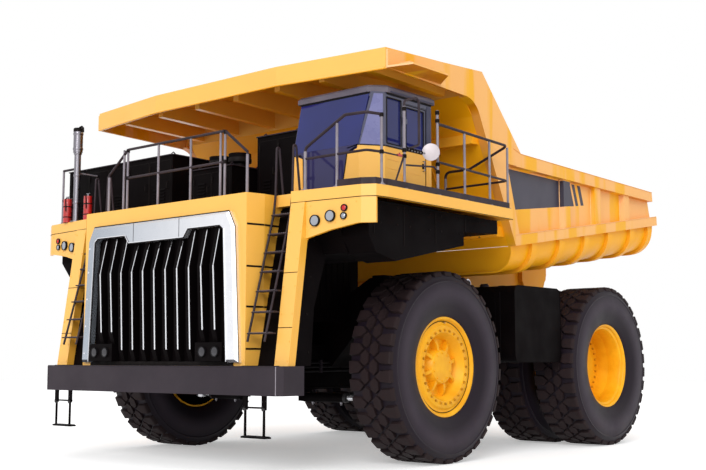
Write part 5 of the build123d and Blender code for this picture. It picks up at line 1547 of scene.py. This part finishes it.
# %% [markdown]
# ## Tanks and side boxes
# The fuel and oil tanks hang on straps over rubber, with a filler on top, a guarded gauge on the
# rear face and a drain below, and their ends are welded in. A strap follows the tank's own outline,
# so it is drawn as a band round that line. The black boxes under the decks are folded sheet with
# bolted lids, and a cable runs behind them.

# %% Tanks
# the tank seen from its end, as metres behind the front axle and height
tank_line = [(2.08, 1.72), (2.08, 2.83), (2.115, 2.915), (2.2, 2.95), (3.54, 2.95), (3.625, 2.915),
             (3.66, 2.83), (3.66, 1.72), (3.625, 1.635), (3.54, 1.6), (2.2, 1.6), (2.115, 1.635)]


def tank_band(x, wide, grow):
    """A strap round the tank at x."""
    points = []
    # the outer line stands off the tank and the inner one lies in it
    for grown_by in (grow, -0.004):
        for a, z in tank_line:
            da = grown_by if a > 3.4 else -grown_by if a < 2.3 else 0
            dz = grown_by if z > 2.8 else -grown_by if z < 1.8 else 0
            points += [(x - wide / 2, aft(a + da), z + dz), (x + wide / 2, aft(a + da), z + dz)]
    count = len(tank_line)
    faces = []
    for k in range(count):
        n = (k + 1) % count
        faces += [(2 * k, 2 * n, 2 * n + 1, 2 * k + 1),
                  (2 * k, 2 * (count + k), 2 * (count + n), 2 * n),
                  (2 * k + 1, 2 * n + 1, 2 * (count + n) + 1, 2 * (count + k) + 1),
                  (2 * (count + k), 2 * (count + k) + 1, 2 * (count + n) + 1, 2 * (count + n))]
    return Shape().take(points, faces)


straps = many([tank_band(x, 0.09, 0.008) for x in (2.15, 2.95)])
pads = many([tank_band(x, 0.11, 0.003) for x in (2.15, 2.95)])
end_weld = tank_band(3.296, 0.02, 0.004)
filler = ring_at((2.45, aft(2.42), 2.948), upward, [
    (0.0, 0.0), (0.0, 0.11), (0.012, 0.11), (0.02, 0.085), (0.05, 0.082), (0.058, 0.07),
    (0.06, 0.0)], 32)
cross = Shape().box((2.38, aft(2.41), 3.003), (2.52, aft(2.43), 3.022))
gauge = Shape().tube([(2.4, aft(3.66), 1.85), (2.4, aft(3.692), 1.87), (2.4, aft(3.692), 2.75),
                      (2.4, aft(3.66), 2.77)], 0.016, 10)
guards = [strip([(x, aft(3.66), 1.8), (x, aft(3.66), 2.82)], 0.018, 0.028, rearward)
          for x in (2.35, 2.45)]
drain = ring_at((2.45, aft(2.75), 1.602), downward, [
    (0.0, 0.0), (0.0, 0.04), (0.02, 0.04), (0.024, 0.022), (0.044, 0.022), (0.046, 0.0)], 6)
tank_parts = [(straps, finishes["black"]), (pads, gasket_rubber), (end_weld, finishes["black"]),
              (many([filler, cross]), finishes["dark"]), (gauge, finishes["lamp"]),
              (many(guards), finishes["dark"]), (drain, finishes["iron"])]
for side, word in sides:
    assemble("tank_fittings_" + word, tank_parts, "chassis", places=side_place(side))

# %% Side boxes, column wings and a cable
box_seams = [strip([(3.702, aft(a), low), (3.702, aft(a), 3.92)], 0.01, 0.004, leftward)
             for a, low in ((-2.3, 3.45), (-1.6, 3.32), (-0.8, 3.42), (0.0, 3.64))]
box_lids = bolts_at([(3.7, aft(a), z) for a in (-2.15, -1.75, -1.45, -0.95, -0.65, -0.15, 0.15, 0.4)
                     for z in (3.62, 3.86)], leftward, 0.01)
wing_bolts = bolts_at([(2.722, aft(a), z) for a, z in ((-2.62, 1.75), (-2.66, 2.3), (-2.58, 2.85),
                                                       (-2.5, 3.4))], leftward, 0.012)
cable = Shape().tube([(2.1, aft(-2.33), 3.88), (2.1, aft(-1.2), 3.9), (2.15, aft(0.2), 3.9),
                      (2.1, aft(0.9), 3.86)], 0.022, 10)
assemble("side_box_trim", [(both(many(box_seams + [box_lids, wing_bolts])), line_black),
                           (both(cable), gasket_rubber)], "chassis")

# %% [markdown]
# ## Running gear
# Cylinders have gland rings and hose ports, struts have charging valves and a gaiter, and the
# axle and knuckles carry rings of bolts. Each piece rides on the body that carries it.

# %% Hoist cylinders
hoist_base, hoist_eye = Vector((1.29, aft(2.0), 1.3)), Vector((1.29, aft(3.5), 3.12))
hoist_run = (hoist_eye - hoist_base).length
hoist_way = (hoist_eye - hoist_base).normalized()


def on_hoist(distance):
    """A point on the left hoist's axis."""
    return hoist_base + hoist_way * distance


def circle(radius, count):
    """Pairs of offsets, evenly round a circle."""
    turns = [2 * math.pi * k / count for k in range(count)]
    return [(radius * math.cos(turn), radius * math.sin(turn)) for turn in turns]


gland = ring_at(on_hoist(hoist_run - 0.3), hoist_way, [
    (0.0, 0.12), (0.0, 0.136), (0.02, 0.142), (0.06, 0.142), (0.072, 0.134), (0.074, 0.104),
    (0.05, 0.1), (0.0, 0.11)], 36)
foot = ring_at(on_hoist(0.15), hoist_way, [(0.0, 0.11), (0.0, 0.138), (0.05, 0.138), (0.05, 0.11)], 36)
port = ring_at(on_hoist(0.34) + Vector((0.11, 0, 0)), leftward, [
    (0.0, 0.0), (0.0, 0.04), (0.05, 0.04), (0.054, 0.024), (0.074, 0.024), (0.076, 0.0)], 12)
a, b = on_hoist(0.36), on_hoist(hoist_run - 0.42)
pipe = Shape().tube([a + Vector((0.175, 0, 0)), a.lerp(b, 0.1) + Vector((0.16, 0, 0)),
                     a.lerp(b, 0.9) + Vector((0.15, 0, 0)), b + Vector((0.115, 0, 0))], 0.014, 10)
tie_centre, tie_up = on_hoist(hoist_run - 0.236), hoist_way.cross(Vector(leftward))
tie_bolts = bolts_at([tie_centre + Vector((c, 0, 0)) + tie_up * s for c, s in circle(0.122, 8)],
                     hoist_way, 0.009)
stage_ring = ring_at(on_hoist(hoist_run - 0.205), hoist_way, [
    (0.0, 0.074), (0.0, 0.098), (0.016, 0.098), (0.018, 0.09), (0.018, 0.074)], 36)
eye_cap = ring_at(hoist_eye + Vector((0.059, 0, 0)), leftward, [
    (0.0, 0.0), (0.0, 0.08), (0.014, 0.078), (0.016, 0.04), (0.026, 0.036), (0.028, 0.0)], 28)
for side, word in sides:
    place = side_place(side)
    assemble("hoist_barrel_trim_" + word,
             [(many([gland, foot]), finishes["iron"]), (many([port, tie_bolts]), finishes["steel"]),
              (pipe, finishes["black"])], "hoist_barrel_" + word + "_body", places=place)
    assemble("hoist_stage_trim_" + word, [(stage_ring, finishes["iron"])],
             "hoist_stage_" + word + "_body", places=place)
    assemble("hoist_rod_trim_" + word, [(eye_cap, finishes["iron"])],
             "hoist_rod_" + word + "_body", places=place)

# %% Steering cylinders and knuckles
ram_base, ram_eye = Vector((0.75, aft(-0.6), 1.01)), Vector((2.0, aft(-0.45), 1.01))
ram_way = (ram_eye - ram_base).normalized()
ram_gland = ring_at(ram_base + ram_way * 0.85, ram_way, [
    (0.0, 0.07), (0.0, 0.082), (0.03, 0.084), (0.05, 0.08), (0.062, 0.06), (0.062, 0.044),
    (0.0, 0.05)], 28)
ram_ports = many([ring_at(ram_base + ram_way * s + Vector((0, 0, -0.07)), downward, [
    (0.0, 0.0), (0.0, 0.022), (0.03, 0.022), (0.032, 0.012), (0.05, 0.012), (0.052, 0.0)], 10)
    for s in (0.2, 0.78)])
pin_cap = ring_at(ram_eye + Vector((0, 0, -0.05)), downward, [
    (0.0, 0.0), (0.0, 0.05), (0.012, 0.048), (0.014, 0.02), (0.026, 0.018), (0.028, 0.0)], 24)
knuckle_bolts = bolts_at([(2.0 + c, front_y + s, 1.9) for c, s in circle(0.19, 10)], upward, 0.014)
seal = ring_at((2.21, front_y, tyre_r), leftward, [
    (0.0, 0.225), (0.0, 0.245), (0.03, 0.245), (0.04, 0.232), (0.04, 0.225)], 36)
for side, word in sides:
    place = side_place(side)
    assemble("steering_barrel_trim_" + word, [(ram_gland, finishes["iron"]), (ram_ports, finishes["steel"])],
             "steering_barrel_" + word + "_body", places=place)
    assemble("steering_rod_trim_" + word, [(pin_cap, finishes["iron"])],
             "steering_rod_" + word + "_body", places=place)
    assemble("knuckle_trim_" + word, [(knuckle_bolts, finishes["steel"]), (seal, gasket_rubber)],
             "knuckle_" + word + "_body", places=place)

# %% Struts and the rear axle
strut_parts = []
for s in (-1, 1):
    strut_parts.append((ring_at((s * 2.0, front_y, 1.962), upward, [
        (0.0, 0.112), (0.0, 0.176), (0.05, 0.176), (0.062, 0.172), (0.062, 0.112)], 36), finishes["iron"]))
    strut_parts.append((ring_at((s * 2.0, front_y, 2.76), upward, [
        (0.0, 0.165), (0.0, 0.178), (0.04, 0.178), (0.04, 0.165)], 36), finishes["iron"]))
    strut_parts.append((ring_at((s * 2.0 + s * 0.165, front_y, 2.1), (s, 0, 0), [
        (0.0, 0.0), (0.0, 0.022), (0.024, 0.022), (0.026, 0.01), (0.044, 0.01), (0.046, 0.0)], 10),
        finishes["steel"]))
    folds = [(0.0, 0.13)]
    for k in range(4):
        folds += [(0.01 + 0.024 * k, 0.146), (0.022 + 0.024 * k, 0.13)]
    strut_parts.append((ring_at((s * 0.82, rear_y, 2.19), upward,
                                [(0.0, 0.1)] + folds + [(0.105, 0.1)], 32), gasket_rubber))
    ring_bolts = [(s * 0.7, rear_y + c, tyre_r + h) for c, h in circle(0.505, 24)]
    strut_parts.append((bolts_at(ring_bolts, (s, 0, 0), 0.02), finishes["steel"]))
    strut_parts.append((ring_at((s * 0.69, rear_y, tyre_r), (s, 0, 0), [
        (0.0, 0.402), (0.0, 0.556), (0.012, 0.556), (0.014, 0.402)], 48), finishes["iron"]))
    brake_line = Shape().tube([(s * 0.6, rear_y - 0.1, 2.085), (s * 0.85, rear_y - 0.25, 1.95),
                               (s * 1.2, rear_y - 0.22, 1.9), (s * 1.6, rear_y - 0.15, 1.925)], 0.014, 8)
    strut_parts.append((brake_line, gasket_rubber))
cover = ring_at((0.0, rear_y + 0.548, tyre_r), rearward, [
    (-0.02, 0.0), (-0.02, 0.3), (0.016, 0.3), (0.03, 0.26), (0.05, 0.12), (0.052, 0.0)], 40)
breather = ring_at((0.0, rear_y + 0.2, 2.05), upward, [
    (-0.02, 0.0), (-0.02, 0.024), (0.03, 0.024), (0.034, 0.04), (0.06, 0.038), (0.07, 0.0)], 16)
cover_bolts = bolts_at([(c, rear_y + 0.563, tyre_r + h) for c, h in circle(0.27, 16)], rearward, 0.014)
strut_parts += [(many([cover, breather]), finishes["iron"]), (cover_bolts, finishes["steel"])]
assemble("axle_and_strut_trim", strut_parts, "chassis")

# %% [markdown]
# ## Engine and frame
# Under the hood is a large diesel. Only its sides and top can be seen, past the wheels, so it gets
# its rocker covers, manifold, filters, fan ring and pulley. What comes once for each pair of
# cylinders is one part in a row tree. The frame gets its weld beads, hose bundle and clips.

# %% Engine sides
engine_parts = []
pair_step = (0.0, 0.235, 0.0)
for s in (-1, 1):
    rocker = Shape().slab([(s * 0.1, 3.078), (s * 0.5, 3.078), (s * 0.47, 3.19), (s * 0.14, 3.215)], "Y",
                          aft(-2.2), aft(-2.0))
    engine_parts.append(in_row(rocker, finishes["iron"], 8, pair_step))
    runner = Shape().tube([(s * 0.555, aft(-2.1), 2.75), (s * 0.64, aft(-2.1), 2.76),
                           (s * 0.7, aft(-2.1), 2.84)], 0.045, 10)
    engine_parts.append(in_row(runner, finishes["iron"], 8, pair_step))
    manifold = Shape().tube([(s * 0.7, aft(-2.22), 2.88), (s * 0.7, aft(-0.5), 2.88),
                             (s * 0.66, aft(-0.32), 2.95), (s * 0.5, aft(-0.25), 3.1)], 0.07, 14)
    engine_parts.append((manifold, finishes["steel"]))
    rib_x = sorted((s * 0.555, s * 0.585))
    rib = Shape().box((rib_x[0], aft(-2.2), 1.55), (rib_x[1], aft(-2.16), 2.6))
    engine_parts.append(in_row(rib, finishes["iron"], 9, (0.0, 0.215, 0.0)))
    filter_can = Shape().tube([(s * 0.66, aft(-1.4), 1.7), (s * 0.66, aft(-1.4), 2.02)], 0.08, 16)
    engine_parts.append((filter_can, finishes["dark"]))
print("engine parts:", len(engine_parts))

# %% Fan and pulley
fan_z = 2.35
fan_ring = ring_at((0.0, aft(-2.42), fan_z), forward, [
    (-0.1, 0.72), (-0.1, 0.76), (0.12, 0.76), (0.12, 0.72)], 48)
pulley = ring_at((0.0, aft(-2.3), fan_z), forward, [
    (0.0, 0.0), (0.0, 0.16), (0.03, 0.17), (0.045, 0.15), (0.06, 0.17), (0.09, 0.16),
    (0.16, 0.12), (0.16, 0.0)], 32)
blade = Shape().slab([(aft(-2.46), 0.14), (aft(-2.44), 0.14), (aft(-2.38), 0.7), (aft(-2.42), 0.7)],
                     "X", -0.1, 0.1)
blades = 9
fan_blades = []
for k in range(blades):
    turn = Matrix.Rotation(2 * math.pi * k / blades, 4, "Y")
    fan_blades.append(Shape().take([turn @ Vector(p) for p in blade.points], blade.faces).shift(z=fan_z))
engine_parts += [(many(fan_blades + [fan_ring]), finishes["dark"]), (pulley, finishes["iron"])]
assemble("engine_fittings", engine_parts, "chassis")

# %% Frame
frame_parts = []
for s in (-1, 1):
    x = s * 1.022
    seam_low = [(x, aft(a), z + 0.03) for a, z in ((-2.8, 1.15), (1.5, 1.15), (3.0, 2.22), (6.45, 2.36))]
    seam_high = [(x, aft(a), z - 0.03) for a, z in ((-2.8, 1.9), (0.9, 1.9), (2.1, 2.94), (6.5, 3.17))]
    frame_parts.append((weld(seam_low, 0.01), finishes["black"]))
    frame_parts.append((weld(seam_high, 0.01), finishes["black"]))
    for k in range(3):
        z = 1.6 - 0.07 * k
        hose = Shape().tube([(s * 1.05, aft(-2.3), z), (s * 1.052, aft(-1.2), z - 0.015),
                             (s * 1.05, aft(0.0), z), (s * 1.052, aft(1.0), z - 0.01),
                             (s * 1.05, aft(1.5), z + 0.05)], 0.022, 10)
        frame_parts.append((hose, gasket_rubber))
    for a in (-2.1, -1.3, -0.5, 0.3, 1.1):
        clip_x = sorted((s * 1.018, s * 1.082))
        clip = Shape().box((clip_x[0], aft(a) - 0.02, 1.42), (clip_x[1], aft(a) + 0.02, 1.64))
        frame_parts.append((clip, finishes["dark"]))
    flange_bolts = [(x - s * 0.002, aft(a), z) for a in (2.9, 3.1, 3.6, 3.8) for z in (2.45, 2.75)]
    frame_parts.append((bolts_at(flange_bolts, (s, 0, 0), 0.018), finishes["steel"]))
    pin_cover = ring_at((s * 1.168, aft(6.4), 2.78), (s, 0, 0), [
        (0.0, 0.0), (0.0, 0.068), (0.012, 0.066), (0.014, 0.03), (0.022, 0.0)], 28)
    frame_parts.append((pin_cover, finishes["steel"]))
tow_ring = ring_at((0.0, aft(6.85), 2.78), upward, [
    (-0.002, 0.047), (-0.002, 0.066), (0.006, 0.064), (0.006, 0.047)], 32)
tail_lamps = [ring_at((x, aft(6.7), 2.72), rearward, [
    (-0.005, 0.0), (-0.005, 0.07), (0.03, 0.07), (0.034, 0.062), (0.04, 0.03), (0.042, 0.0)], 28)
    for x in (-0.8, 0.8)]
frame_parts += [(tow_ring, finishes["steel"]), (many(tail_lamps), finishes["red_lens"])]
assemble("frame_trim", frame_parts, "chassis")

# %% [markdown]
# ## Splash sheets
# Between each front wheel and the engine hangs a ribbed sheet that keeps mud off the belts. It is a thin
# slab under the deck, clear of the tyre at full lock, with its ribs laid on by the row tree.

# %% Splash sheets
sheet = Shape().box((1.585, aft(-1.62), 2.25), (1.597, aft(-0.35), 3.955))
sheet_rib = Shape().box((1.595, aft(-1.56), 2.32), (1.609, aft(-1.535), 3.9))
sheet_ribs = in_row(sheet_rib, finishes["black"], 9, (0.0, 0.145, 0.0))
hanger = Shape().box((1.56, aft(-1.62), 3.92), (1.622, aft(-0.35), 3.958))
sheet_bolts = bolts_at([(1.622, aft(-1.55 + 0.19 * k), 3.939) for k in range(7)], leftward, 0.012)
assemble("splash_sheets",
         [(sheet, finishes["black"]), sheet_ribs, (hanger, line_black),
          (sheet_bolts, finishes["iron"])], "chassis",
         places=side_place(1) + side_place(-1))
